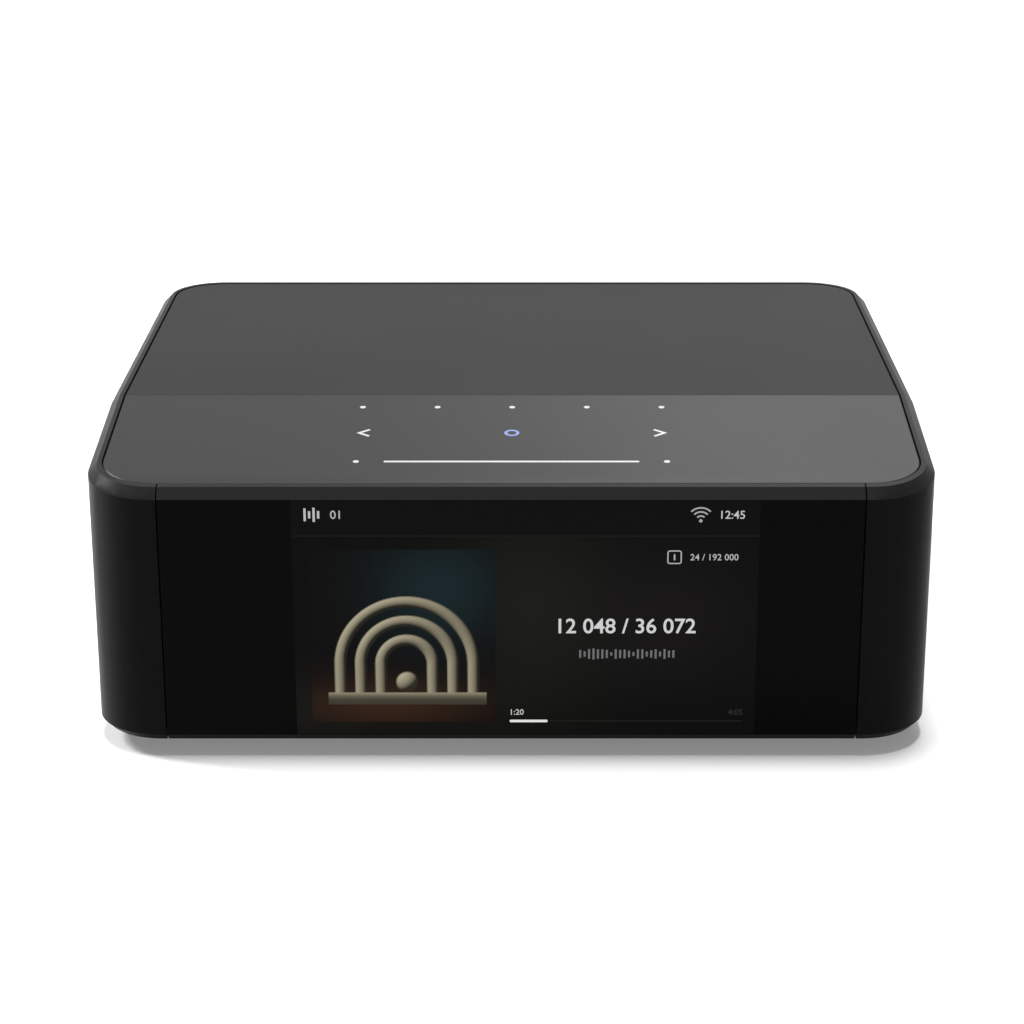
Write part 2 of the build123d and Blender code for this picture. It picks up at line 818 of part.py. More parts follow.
def touch_sheet(grow, upper_drop, lower_drop):
    """One sheet of the touch stack, following the slope."""
    half_width = touch_half_width + grow
    with BuildPart() as sheet:
        block(-half_width, half_width, touch_low_y, touch_high_y, base_z, top_z)
        bent_layer(front_y, ridge_y, upper_drop, lower_drop, Mode.INTERSECT)
    return sheet.part


def icon_pegs(grow, upper_drop, lower_drop):
    """Pegs at the touch symbols and a bar at the volume line, cut to the slope."""
    with BuildPart() as pegs:
        upright(icon_points, icon_peg_radius + grow, base_z, top_z)
        with BuildSketch(Plane.XY.offset(base_z)):
            with Locations((0, front_y + slider_row)):
                SlotOverall(2 * slider_half_length, slider_width + 2 * grow)
        extrude(amount=body_height)
        bent_layer(front_y, ridge_y, upper_drop, lower_drop, Mode.INTERSECT)
    return pegs.part


with BuildPart() as touch_sensor_board:
    add(touch_sheet(0, panel_floor, sensor_floor))
    add(icon_pegs(fit_gap, panel_floor - overrun, sensor_floor + overrun), mode=Mode.SUBTRACT)
keep(touch_sensor_board, "touch_sensor_board")

with BuildPart() as touch_light_guide:
    add(touch_sheet(0, sensor_floor, guide_floor))
    add(icon_pegs(0, panel_floor, guide_floor))
keep(touch_light_guide, "touch_light_guide")

with BuildPart() as touch_carrier:
    add(touch_sheet(carrier_edge, guide_floor, carrier_floor))
keep(touch_carrier, "touch_carrier")

# Circuit boards and what holds them
headphone_front_y = headphone_y - headphone_board_depth / 2
headphone_rear_y = headphone_y + headphone_board_depth / 2
mains_front_y = socket_face_y - mains_depth
main_points = [
    (main_notch_x + board_hole_inset, main_front + board_hole_inset),
    (main_right - board_hole_inset, main_front + board_hole_inset),
    (main_left + board_hole_inset, main_notch_y + board_hole_inset),
    (main_left + board_hole_inset, board_rear_y - board_hole_inset),
    (main_right - board_hole_inset, analog_front_y - board_hole_inset),
]
power_points = [
    (power_left + board_hole_inset, power_front + board_hole_inset),
    (power_right - board_hole_inset, power_front + board_hole_inset),
    (power_left + board_hole_inset, mains_front_y - board_hole_inset),
    (power_right - board_hole_inset, board_rear_y - board_hole_inset),
]
headphone_points = [
    (x * (headphone_board_inner + board_hole_inset), y)
    for x in (-1, 1)
    for y in (headphone_front_y + board_hole_inset, headphone_rear_y - board_hole_inset)
]
board_points = main_points + power_points + headphone_points
analog_low_x, analog_high_x = analog_left + board_hole_inset, analog_right - board_hole_inset
analog_low_y, analog_high_y = analog_front_y + board_hole_inset, board_rear_y - analog_rear_inset
analog_points = [(x, y) for x in (analog_low_x, analog_high_x) for y in (analog_low_y, analog_high_y)]
analog_points += [(analog_middle_x, board_rear_y - analog_middle_inset)]

with BuildPart() as main_board:
    with BuildSketch(Plane.XY.offset(board_z)):
        with BuildLine():
            Polyline(
                (main_notch_x, main_front),
                (main_right, main_front),
                (main_right, board_rear_y),
                (main_left, board_rear_y),
                (main_left, main_notch_y),
                (main_notch_x, main_notch_y),
                close=True,
            )
        make_face()
        fillet(vertices(), board_corner)
        with Locations(*main_points, *analog_points):
            Circle(screw_hole, mode=Mode.SUBTRACT)
    extrude(amount=board_thickness)
keep(main_board, "main_board")


def plain_board(x_low, x_high, y_low, y_high, z, hole_points):
    """A rectangular circuit board with rounded corners and screw holes."""
    with BuildPart() as board:
        with BuildSketch(Plane.XY.offset(z)):
            with Locations(((x_low + x_high) / 2, (y_low + y_high) / 2)):
                RectangleRounded(x_high - x_low, y_high - y_low, board_corner)
            with Locations(*hole_points):
                Circle(screw_hole, mode=Mode.SUBTRACT)
        extrude(amount=board_thickness)
    return board


power_board = plain_board(power_left, power_right, power_front, board_rear_y, board_z, power_points)
keep(power_board, "power_board")

analog_board = plain_board(
    analog_left, analog_right, analog_front_y, board_rear_y, analog_z, analog_points
)
keep(analog_board, "analog_board")

with BuildPart() as headphone_boards:
    for side in (-1, 1):
        board_xs = sorted((side * headphone_board_inner, side * headphone_board_outer))
        points = [point for point in headphone_points if point[0] * side > 0]
        add(plain_board(*board_xs, headphone_front_y, headphone_rear_y, board_z, points).part)
keep(headphone_boards, "headphone_boards")


def hex_posts(points, z_low, z_high):
    """Six-sided threaded posts, open at both ends."""
    with BuildPart() as posts:
        with BuildSketch(Plane.XY.offset(z_low)):
            with Locations(*points):
                RegularPolygon(standoff_radius, 6)
                Circle(screw_hole, mode=Mode.SUBTRACT)
        extrude(amount=z_high - z_low)
    return posts


board_standoffs = hex_posts(board_points, base_top, board_z)
keep(board_standoffs, "board_standoffs")

analog_standoffs = hex_posts(analog_points, board_top, analog_z)
keep(analog_standoffs, "analog_standoffs")

with BuildPart() as board_screws:
    with Locations(*[(x, y, board_top) for x, y in board_points]):
        add(screw)
    with Locations(*[(x, y, analog_top) for x, y in analog_points]):
        add(screw)
keep(board_screws, "board_screws")

# Processor with its finned heat sink
with BuildPart() as processor:
    with BuildSketch(Plane.XY.offset(board_top)):
        with Locations((processor_x, processor_y)):
            Rectangle(processor_size, processor_size)
    extrude(amount=processor_height)
    chamfer(processor.edges().filter_by(Axis.Z).sort_by(Axis.X)[0], processor_height / 2)
keep(processor, "processor")

sink_z = board_top + processor_height
fin_step = (sink_size - sink_fin) / (sink_fin_count - 1)
with BuildPart() as processor_heat_sink:
    with BuildSketch(Plane.XY.offset(sink_z)):
        with Locations((processor_x, processor_y)):
            Rectangle(sink_size, sink_size)
    extrude(amount=sink_base)
    with BuildSketch(Plane.XY.offset(sink_z + sink_base)):
        with Locations((processor_x, processor_y)):
            with GridLocations(fin_step, sink_size, sink_fin_count, 1):
                Rectangle(sink_fin, sink_size)
    extrude(amount=sink_height - sink_base)
keep(processor_heat_sink, "processor_heat_sink")

# Wireless module and its two antennas under the cover
with BuildPart() as wireless_module:
    with BuildSketch(Plane.XY.offset(board_top)):
        with Locations((wireless_x, wireless_y)):
            RectangleRounded(wireless_width, wireless_depth, board_corner)
    extrude(amount=wireless_height)
    fillet(wireless_module.faces().sort_by(Axis.Z)[-1].edges(), shield_wall)
keep(wireless_module, "wireless_module")

cover_under_z = top_z - panel_floor
with BuildPart() as antennas:
    with BuildSketch(Plane.XY.offset(cover_under_z - antenna_thickness)):
        with Locations((-antenna_x, antenna_y), (antenna_x, antenna_y)):
            RectangleRounded(antenna_length, antenna_width, board_corner)
    extrude(amount=antenna_thickness)
keep(antennas, "antennas")

# Converter stage: a shield can on the upper board and the header that joins both boards
shield_x = (analog_left + analog_right) / 2
shield_y = analog_low_y + standoff_radius + shield_depth / 2
with BuildPart() as converter_shield:
    with BuildSketch(Plane.XY.offset(analog_top)):
        with Locations((shield_x, shield_y)):
            RectangleRounded(shield_width, shield_depth, board_corner)
    extrude(amount=shield_height)
    offset(amount=-shield_wall, openings=converter_shield.faces().sort_by(Axis.Z)[0])
keep(converter_shield, "converter_shield")

with BuildPart() as board_header:
    header_y = analog_low_y + standoff_radius
    header_xs = (header_x - header_width / 2, header_x + header_width / 2)
    block(*header_xs, header_y, header_y + header_depth, board_top, analog_z)
keep(board_header, "board_header")

with BuildPart() as board_link:
    link_xs = (main_right - link_overlap, power_left + link_overlap)
    block(*link_xs, link_y, link_y + link_depth, board_top, board_top + link_height)
keep(board_link, "board_link")

# Power supply parts
power_x = (power_left + power_right) / 2
transformer_z = board_top + transformer_core / 2
with BuildPart() as power_transformer:
    half_width, half_depth = transformer_width / 2, transformer_depth / 2
    core_xs = (power_x - half_width, power_x + half_width)
    core_ys = (transformer_y - half_depth, transformer_y + half_depth)
    coil_low = transformer_z - transformer_coil_height / 2
    coil_high = transformer_z + transformer_coil_height / 2
    block(*core_xs, *core_ys, board_top, board_top + transformer_core)
    window_half = half_width - transformer_leg
    window_xs = (power_x - window_half, power_x + window_half)
    block(*window_xs, *core_ys, coil_low, coil_high, Mode.SUBTRACT)
    upright([(power_x, transformer_y)], transformer_coil_radius, coil_low, coil_high)
keep(power_transformer, "power_transformer")

capacitor_points = [(power_x + x * capacitor_pitch / 2, capacitor_y) for x in (-1, 1)]
with BuildPart() as power_capacitors:
    upright(capacitor_points, capacitor_radius, board_top, board_top + capacitor_height)
    fillet(power_capacitors.faces().group_by(Axis.Z)[-1].edges(), capacitor_score)
    with BuildSketch(Plane.XY.offset(board_top + capacitor_height)):
        with Locations(*capacitor_points):
            Rectangle(capacitor_radius, capacitor_score)
            Rectangle(capacitor_score, capacitor_radius)
    extrude(amount=-capacitor_score, mode=Mode.SUBTRACT)
keep(power_capacitors, "power_capacitors")

power_fin_step = (power_sink_length - sink_fin) / (power_sink_fin_count - 1)
with BuildPart() as power_heat_sink:
    sink_left = power_sink_x - power_sink_thickness / 2
    sink_right = power_sink_x + power_sink_thickness / 2
    sink_front = power_sink_y - power_sink_length / 2
    sink_top = board_top + power_sink_height
    block(sink_left, sink_right, sink_front, sink_front + power_sink_length, board_top, sink_top)
    for fin in range(power_sink_fin_count):
        fin_y = sink_front + fin * power_fin_step
        block(sink_left - power_sink_fin, sink_left, fin_y, fin_y + sink_fin, board_top, sink_top)
keep(power_heat_sink, "power_heat_sink")


def ribbon(builder_path, x, width):
    """A flat ribbon cable drawn from its side and given its width along X."""
    with BuildPart() as strip:
        with BuildSketch(Plane.YZ.offset(x - width / 2)):
            with BuildLine():
                add(builder_path)
            trace(line_width=ribbon_thickness)
        extrude(amount=width)
    return strip


# Display ribbon: down the back of the backlight, then level to its plug on the main board
ribbon_half = ribbon_thickness / 2
plug_middle_z = board_top + ribbon_plug_height / 2
with BuildLine() as display_route:
    FilletPolyline(
        (frame_back_y + ribbon_half, board_top + display_ribbon_rise - ribbon_bend),
        (frame_back_y + ribbon_half, plug_middle_z),
        (main_front + ribbon_plug_depth / 2, plug_middle_z),
        radius=ribbon_bend,
    )
display_strip = ribbon(display_route.line, display_ribbon_x, display_ribbon_width)
with BuildPart() as display_ribbon:
    add(display_strip.part)
    plug_xs = [display_ribbon_x + x * (display_ribbon_width / 2 + ribbon_half) for x in (-1, 1)]
    plug_ys = (main_front, main_front + ribbon_plug_depth)
    block(*plug_xs, *plug_ys, board_top, board_top + ribbon_plug_height)
keep(display_ribbon, "display_ribbon")

# Touch ribbon: bows from a plug under the touch carrier to a plug on the main board
touch_plug_z = top_at(touch_ribbon_y - ribbon_plug_depth / 2, carrier_floor) - ribbon_plug_height
with BuildLine() as touch_route:
    ThreePointArc(
        (touch_ribbon_y, touch_plug_z + ribbon_plug_height / 2),
        (touch_ribbon_y + touch_ribbon_bow, (touch_plug_z + plug_middle_z) / 2),
        (touch_ribbon_y, plug_middle_z),
    )
touch_strip = ribbon(touch_route.line, touch_ribbon_x, touch_ribbon_width)
with BuildPart() as touch_ribbon:
    add(touch_strip.part)
    plug_xs = [touch_ribbon_x + x * (touch_ribbon_width / 2 + ribbon_half) for x in (-1, 1)]
    plug_ys = [touch_ribbon_y + y * ribbon_plug_depth / 2 for y in (-1, 1)]
    block(*plug_xs, *plug_ys, board_top, board_top + ribbon_plug_height)
    block(*plug_xs, *plug_ys, touch_plug_z, touch_plug_z + ribbon_plug_height)
keep(touch_ribbon, "touch_ribbon")

# Rear panel: a recessed plate with an opening for each socket
balanced_z = analog_top + balanced_center_rise
phono_zs = (analog_top + phono_rise, analog_top + phono_rise + phono_pitch)
minijack_z = board_top + minijack_height / 2
button_z = board_top + switch_rise
rear_plate = recess_form(fit_gap, rear_inner_y, rear_face_y)
rear_cuts = [
    (ethernet_x, ethernet_width, ethernet_height),
    (usb_a_x, usb_a_width, usb_a_height),
    (hdmi_x, hdmi_width, hdmi_height),
    (optical_in_x, optical_width, optical_height),
    (optical_out_x, optical_width, optical_height),
    (mains_x, mains_width, mains_height),
]
balanced_points = [(x, balanced_z) for x in balanced_xs]
phono_points = [(x, z) for x in phono_xs for z in phono_zs]
minijack_points = [(x, minijack_z) for x in minijack_xs]


def panel_holes(points, radius):
    """Round openings for a kind of socket, with the panel's gap around them."""
    lengthwise(points, radius + panel_hole_gap, rear_inner_y, rear_face_y, Mode.SUBTRACT)


with BuildPart() as rear_panel:
    add(rear_plate.part)
    for cut_x, cut_width, cut_height in rear_cuts:
        half_cut = cut_width / 2 + panel_hole_gap
        cut_low, cut_high = board_top - panel_hole_gap, board_top + cut_height + panel_hole_gap
        cut_xs = (cut_x - half_cut, cut_x + half_cut)
        block(*cut_xs, rear_inner_y, rear_face_y, cut_low, cut_high, Mode.SUBTRACT)
    with BuildSketch(Plane.XZ.offset(-rear_face_y)):
        with Locations((usb_c_x, board_top + usb_c_height / 2)):
            SlotOverall(usb_c_width + 2 * panel_hole_gap, usb_c_height + 2 * panel_hole_gap)
    extrude(amount=rear_panel_thickness, mode=Mode.SUBTRACT)
    panel_holes(balanced_points, balanced_radius)
    panel_holes(phono_points, phono_radius)
    panel_holes(minijack_points, minijack_collar_radius)
    panel_holes([(button_x, button_z)], button_radius)
    lengthwise(rear_screw_points, small_screw_hole, rear_inner_y, rear_face_y, Mode.SUBTRACT)
keep(rear_panel, "rear_panel")


def socket_block(x, width, height, depth, face_y=socket_face_y):
    """The outer block of a socket that stands on the main board and ends at its face."""
    block_ys = (face_y - depth, face_y)
    block(x - width / 2, x + width / 2, *block_ys, board_top, board_top + height)


def socket_bore(x, width, depth, z_low, z_high, face_y=socket_face_y):
    """A rectangular hollow cut into a socket from its face."""
    bore_ys = (face_y - depth, face_y)
    block(x - width / 2, x + width / 2, *bore_ys, z_low, z_high, Mode.SUBTRACT)


# Ethernet socket with its latch notch below the main hollow
ethernet_low_z = board_top + ethernet_bore_rise
with BuildPart() as ethernet_socket:
    socket_block(ethernet_x, ethernet_width, ethernet_height, ethernet_depth)
    ethernet_high_z = ethernet_low_z + ethernet_bore_height
    notch_low_z = ethernet_low_z - ethernet_notch_height
    socket_bore(
        ethernet_x, ethernet_bore_width, ethernet_bore_depth, ethernet_low_z, ethernet_high_z
    )
    socket_bore(
        ethernet_x, ethernet_notch_width, ethernet_bore_depth, notch_low_z, ethernet_low_z
    )
keep(ethernet_socket, "ethernet_socket")

# Large data socket with its contact tongue
with BuildPart() as usb_a_socket:
    socket_block(usb_a_x, usb_a_width, usb_a_height, usb_a_depth)
    bore_width = usb_a_width - 2 * shell_skin
    bore_zs = (board_top + shell_skin, board_top + usb_a_height - shell_skin)
    socket_bore(usb_a_x, bore_width, usb_a_bore_depth, *bore_zs)
    tongue_xs = (usb_a_x - usb_a_tongue_width / 2, usb_a_x + usb_a_tongue_width / 2)
    tongue_start = socket_face_y - usb_a_bore_depth
    tongue_zs = (bore_zs[1] - shell_skin - usb_a_tongue_height, bore_zs[1] - shell_skin)
    block(*tongue_xs, tongue_start, tongue_start + usb_a_tongue_depth, *tongue_zs)
keep(usb_a_socket, "usb_a_socket")


def tapered_block(width, height, taper, depth, mode=Mode.ADD):
    """The video socket's form, narrower at its foot, drawn from its face inwards."""
    half_width, half_height = width / 2, height / 2
    with BuildSketch(Plane((hdmi_x, socket_face_y, hdmi_middle_z), (1, 0, 0), (0, -1, 0))) as outline:
        with BuildLine():
            Polyline(
                (-half_width + taper, -half_height),
                (half_width - taper, -half_height),
                (half_width, -half_height + taper),
                (half_width, half_height),
                (-half_width, half_height),
                (-half_width, -half_height + taper),
                close=True,
            )
        make_face()
    extrude(outline.sketch, amount=depth, mode=mode)


# Video socket
hdmi_middle_z = board_top + hdmi_height / 2
hdmi_inner_width, hdmi_inner_height = hdmi_width - 2 * shell_skin, hdmi_height - 2 * shell_skin
with BuildPart() as hdmi_socket:
    tapered_block(hdmi_width, hdmi_height, hdmi_taper, hdmi_depth)
    tapered_block(
        hdmi_inner_width, hdmi_inner_height, hdmi_taper - shell_skin / 2, hdmi_bore_depth, Mode.SUBTRACT
    )
    tongue_xs = (hdmi_x - hdmi_tongue_width / 2, hdmi_x + hdmi_tongue_width / 2)
    tongue_start = socket_face_y - hdmi_bore_depth
    tongue_zs = (hdmi_middle_z, hdmi_middle_z + hdmi_tongue_height)
    block(*tongue_xs, tongue_start, tongue_start + hdmi_tongue_depth, *tongue_zs)
keep(hdmi_socket, "hdmi_socket")

# Small data socket
usb_c_middle_z = board_top + usb_c_height / 2
with BuildPart() as usb_c_socket:
    with BuildSketch(Plane.XZ.offset(-socket_face_y)):
        with Locations((usb_c_x, usb_c_middle_z)):
            SlotOverall(usb_c_width, usb_c_height)
    extrude(amount=usb_c_depth)
    with BuildSketch(Plane.XZ.offset(-socket_face_y)):
        with Locations((usb_c_x, usb_c_middle_z)):
            SlotOverall(usb_c_width - 2 * usb_c_skin, usb_c_height - 2 * usb_c_skin)
    extrude(amount=usb_c_bore_depth, mode=Mode.SUBTRACT)
    tongue_xs = (usb_c_x - usb_c_tongue_width / 2, usb_c_x + usb_c_tongue_width / 2)
    tongue_start = socket_face_y - usb_c_bore_depth
    half_tongue = usb_c_tongue_height / 2
    tongue_zs = (usb_c_middle_z - half_tongue, usb_c_middle_z + half_tongue)
    block(*tongue_xs, tongue_start, tongue_start + usb_c_tongue_depth, *tongue_zs)
keep(usb_c_socket, "usb_c_socket")

# Optical sockets: sunk a little in the panel, with a sprung shutter on two pins under the roof
optical_low_z = board_top + (optical_height - optical_bore_height) / 2
optical_high_z = optical_low_z + optical_bore_height
shutter_y = optical_face_y - shutter_setback - shutter_barrel_radius
shutter_z = optical_high_z - shutter_roof_gap - shutter_barrel_radius
shutter_half = optical_bore_width / 2 - shutter_side_gap
pin_end = shutter_half + shutter_pin_length
for socket_name, socket_x in (("optical_in", optical_in_x), ("optical_out", optical_out_x)):
    with BuildPart() as optical_socket:
        socket_block(socket_x, optical_width, optical_height, optical_depth, optical_face_y)
        optical_bore = (optical_bore_width, optical_bore_depth, optical_low_z, optical_high_z)
        socket_bore(socket_x, *optical_bore, optical_face_y)
        pin_hole = pin_end + shutter_pin_play
        pin_hole_xs = (socket_x - pin_hole, socket_x + pin_hole)
        hole_radius = shutter_pin_radius + shutter_pin_gap
        crosswise(shutter_y, shutter_z, hole_radius, *pin_hole_xs, Mode.SUBTRACT)
    keep(optical_socket, f"{socket_name}_socket")

    with BuildPart() as optical_shutter:
        shutter_xs = (socket_x - shutter_half, socket_x + shutter_half)
        shutter_ys = (shutter_y - shutter_thickness / 2, shutter_y + shutter_thickness / 2)
        block(*shutter_xs, *shutter_ys, optical_low_z + shutter_side_gap, shutter_z)
        crosswise(shutter_y, shutter_z, shutter_barrel_radius, *shutter_xs)
        crosswise(shutter_y, shutter_z, shutter_pin_radius, socket_x - pin_end, socket_x + pin_end)
    keep(optical_shutter, f"{socket_name}_shutter")

# Trigger and remote-eye jacks
with BuildPart() as minijacks:
    for minijack_x in minijack_xs:
        minijack_sides = (minijack_x - minijack_width / 2, minijack_x + minijack_width / 2)
        minijack_ys = (socket_face_y - minijack_depth, rear_inner_y)
        block(*minijack_sides, *minijack_ys, board_top, board_top + minijack_height)
    lengthwise(minijack_points, minijack_collar_radius, rear_inner_y, socket_face_y)
    bore_start = socket_face_y - minijack_bore_depth
    lengthwise(minijack_points, minijack_bore_radius, bore_start, socket_face_y, Mode.SUBTRACT)
keep(minijacks, "minijacks")

# Setup button in the panel and the switch that it presses
flange_front_y = rear_inner_y - button_flange
switch_face_y = flange_front_y - button_travel - button_gap
stem_end_y = switch_face_y - button_stem_hold
button_point = [(button_x, button_z)]
with BuildPart() as setup_button:
    lengthwise(button_point, button_radius, rear_inner_y, rear_face_y - button_sink)
    lengthwise(button_point, button_flange_radius, flange_front_y, rear_inner_y)
    lengthwise(button_point, button_stem_radius, stem_end_y, flange_front_y)
    fillet(setup_button.faces().sort_by(Axis.Y)[-1].edges(), button_gap)
keep(setup_button, "setup_button")

with BuildPart() as setup_switch:
    switch_xs = (button_x - switch_width / 2, button_x + switch_width / 2)
    switch_ys = (switch_face_y - switch_depth, switch_face_y)
    block(*switch_xs, *switch_ys, board_top, button_z + switch_top)
    stem_hole_y = stem_end_y - button_travel - button_gap
    stem_hole = button_stem_radius + button_stem_gap
    lengthwise(button_point, stem_hole, stem_hole_y, switch_face_y, Mode.SUBTRACT)
keep(setup_switch, "setup_switch")

# Phono jacks: stacked pairs, each a block behind the panel with two metal barrels
phono_front_y = rear_inner_y - phono_depth
phono_end_y = rear_face_y + phono_proud
phono_inner = phono_radius - phono_wall
with BuildPart() as phono_blocks:
    for phono_x in phono_xs:
        phono_sides = (phono_x - phono_width / 2, phono_x + phono_width / 2)
        phono_top = analog_top + 2 * phono_rise + phono_pitch
        block(*phono_sides, phono_front_y, rear_inner_y, analog_top, phono_top)
keep(phono_blocks, "phono_blocks")

with BuildPart() as phono_barrels:
    lengthwise(phono_points, phono_radius, rear_inner_y, phono_end_y)
    lengthwise(phono_points, phono_flange_radius, rear_face_y, rear_face_y + phono_flange)
    lengthwise(phono_points, phono_inner, rear_inner_y, phono_end_y, Mode.SUBTRACT)
keep(phono_barrels, "phono_barrels")

with BuildPart() as phono_cores:
    core_end_y = phono_end_y - phono_core_setback
    lengthwise(phono_points, phono_inner - phono_core_gap, rear_inner_y, core_end_y)
    core_bore_y = core_end_y - phono_core_bore_depth
    lengthwise(phono_points, phono_core_bore, core_bore_y, core_end_y, Mode.SUBTRACT)
keep(phono_cores, "phono_cores")

# Balanced outputs: a cup with three pins each
balanced_face_y = rear_face_y + balanced_proud
balanced_floor_y = balanced_face_y - balanced_bore_depth
for socket_name, balanced_x in zip(("left", "right"), balanced_xs):
    with BuildPart() as balanced_socket:
        center = [(balanced_x, balanced_z)]
        balanced_sides = [balanced_x + x * balanced_block_width / 2 for x in (-1, 1)]
        balanced_ys = (rear_inner_y - balanced_depth, rear_inner_y)
        block(*balanced_sides, *balanced_ys, analog_top, balanced_z + balanced_block_top)
        lengthwise(center, balanced_radius, rear_inner_y, balanced_face_y)
        lengthwise(
            center, balanced_bore_radius, balanced_floor_y, balanced_face_y, Mode.SUBTRACT
        )
    keep(balanced_socket, f"balanced_socket_{socket_name}")

pin_step_angle = 360 / balanced_pin_count
pin_angles = [
    radians(balanced_first_pin_angle + pin * pin_step_angle) for pin in range(balanced_pin_count)
]
pin_points = [
    (x + balanced_pin_circle * cos(angle), balanced_z + balanced_pin_circle * sin(angle))
    for x in balanced_xs
    for angle in pin_angles
]
with BuildPart() as balanced_pins:
    pin_end_y = balanced_floor_y + balanced_pin_length
    lengthwise(pin_points, balanced_pin_radius, balanced_floor_y, pin_end_y)
    chamfer(balanced_pins.faces().group_by(Axis.Y)[-1].edges(), balanced_pin_tip)
keep(balanced_pins, "balanced_pins")

# Mains inlet: a figure-of-eight hollow with two pins
mains_bore_z = board_top + mains_bore_rise
mains_floor_y = socket_face_y - mains_bore_depth
with BuildPart() as mains_inlet:
    socket_block(mains_x, mains_width, mains_height, mains_depth)
    with BuildSketch(Plane.XZ.offset(-socket_face_y)):
        with Locations((mains_x, mains_bore_z)):
            SlotCenterToCenter(mains_bore_pitch, 2 * mains_bore_radius)
    extrude(amount=mains_bore_depth, mode=Mode.SUBTRACT)
keep(mains_inlet, "mains_inlet")

with BuildPart() as mains_pins:
    mains_points = [(mains_x + x * mains_bore_pitch / 2, mains_bore_z) for x in (-1, 1)]
    lengthwise(mains_points, mains_pin_radius, mains_floor_y, mains_floor_y + mains_pin_length)
    chamfer(mains_pins.faces().group_by(Axis.Y)[-1].edges(), mains_pin_tip)
keep(mains_pins, "mains_pins")

# Headphone jacks, one in each side near the front
for socket_name, side in (("left", -1), ("right", 1)):
    with BuildPart() as headphone_jack:
        jack_xs = sorted((side * (side_x - wall - headphone_length), side * (side_x - wall)))
        jack_ys = [headphone_y + y * headphone_width / 2 for y in (-1, 1)]
        block(*jack_xs, *jack_ys, board_top, board_top + headphone_height)
        collar_xs = sorted((side * (side_x - wall), side * side_x))
        crosswise(headphone_y, headphone_z, headphone_collar_radius, *collar_xs)
        bore_xs = sorted((side * (side_x - headphone_bore_depth), side * side_x))
        crosswise(headphone_y, headphone_z, headphone_bore_radius, *bore_xs, Mode.SUBTRACT)
        outer_face = headphone_jack.faces().sort_by(Axis.X)[-1 if side > 0 else 0]
        chamfer(outer_face.inner_wires()[0].edges(), headphone_lead_in)
    keep(headphone_jack, f"headphone_jack_{socket_name}")
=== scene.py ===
import math

import bmesh
import bpy
import numpy as np
from mathutils import Matrix, Vector


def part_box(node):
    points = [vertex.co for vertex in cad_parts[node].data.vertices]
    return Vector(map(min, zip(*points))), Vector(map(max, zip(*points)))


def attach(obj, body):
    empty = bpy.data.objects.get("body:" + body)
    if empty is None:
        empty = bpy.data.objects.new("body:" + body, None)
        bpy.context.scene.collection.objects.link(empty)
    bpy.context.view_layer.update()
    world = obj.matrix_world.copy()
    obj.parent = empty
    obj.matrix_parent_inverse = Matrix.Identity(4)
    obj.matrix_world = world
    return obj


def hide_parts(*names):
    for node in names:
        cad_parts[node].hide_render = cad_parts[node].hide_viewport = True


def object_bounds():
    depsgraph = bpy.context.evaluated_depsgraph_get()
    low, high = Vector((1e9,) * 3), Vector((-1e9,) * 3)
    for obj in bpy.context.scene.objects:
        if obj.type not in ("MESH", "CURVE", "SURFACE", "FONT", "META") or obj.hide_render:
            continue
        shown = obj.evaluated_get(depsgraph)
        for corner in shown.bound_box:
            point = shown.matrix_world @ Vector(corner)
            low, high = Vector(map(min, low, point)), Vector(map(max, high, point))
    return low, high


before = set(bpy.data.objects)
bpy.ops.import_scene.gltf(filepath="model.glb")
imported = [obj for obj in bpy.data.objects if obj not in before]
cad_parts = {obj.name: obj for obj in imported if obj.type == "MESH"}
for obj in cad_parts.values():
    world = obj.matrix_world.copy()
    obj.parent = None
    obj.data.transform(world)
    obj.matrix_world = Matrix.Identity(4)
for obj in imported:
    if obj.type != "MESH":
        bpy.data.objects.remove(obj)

# The looks of a desktop network music streamer, laid out as an add-on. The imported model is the
# frame: metres, X to the right seen from the front, Y to the rear, Z up from the surface that it
# stands on.

bl_info = {
    "name": "Music Streamer",
    "version": (1, 0, 0),
    "blender": (4, 5, 0),
    "location": "3D View > Sidebar > Streamer",
    "description": "Dresses a desktop network music streamer and sets up its studio",
    "category": "Object",
}

MM = 0.001
WHITE = (1.0, 1.0, 1.0, 1.0)
cad_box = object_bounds()
glass_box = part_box("front_glass")
panel_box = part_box("display_panel")
touch_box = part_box("touch_glass")
rear_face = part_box("rear_panel")[1].y

# How a CAD mesh is cleaned: points nearer than this are one, faces that bend less are one face,
# and edges that bend more are shaded sharp and broken
MERGE = 0.002 * MM
FLAT = math.radians(0.4)
SHARP = math.radians(28)

# The display's levels above the foot of the window, in millimetres
HEADER_LEVEL = 61.0
DIVIDER_LEVEL = 55.26
FORMAT_LEVEL = 49.5
TITLE_LEVEL = 30.6
WAVE_LEVEL = 22.8
TIME_LEVEL = 6.45
LINE_LEVEL = 3.9
COVER_LEVEL = 3.66
# Insets from the left edge of the picture in millimetres. Those below 0 are from its right edge.
COVER_INSET = 4.1
TITLE_INSET = 86.0
LINE_START = 55.6
LINE_END = -3.0
# Length of the line's played part, and how far within its ends the times are centred
LINE_PLAYED = 9.9
TIME_SHIFT = 2.0
# How far the middle of a layer is in front of the window, in half thicknesses of its ink
BACKGROUND_LAYER, COVER_LAYER, TRACK_LAYER, TOP_LAYER = 0.5, 1.2, 1.6, 2
# Cells of the two glowing sheets, across and up
BACKGROUND_CELLS = (96, 58)
COVER_CELLS = (170, 170)

# The stage
FLOOR_REACH = 12.0
FLOOR_BOUNCE = "#3a3a3a"
SHADOW_LIFT = 0.22
ROOM_LIGHT = 0.14
SUN_POWER, SUN_ANGLE, SUN_TILT = 3.1, math.radians(12), math.radians(-3)
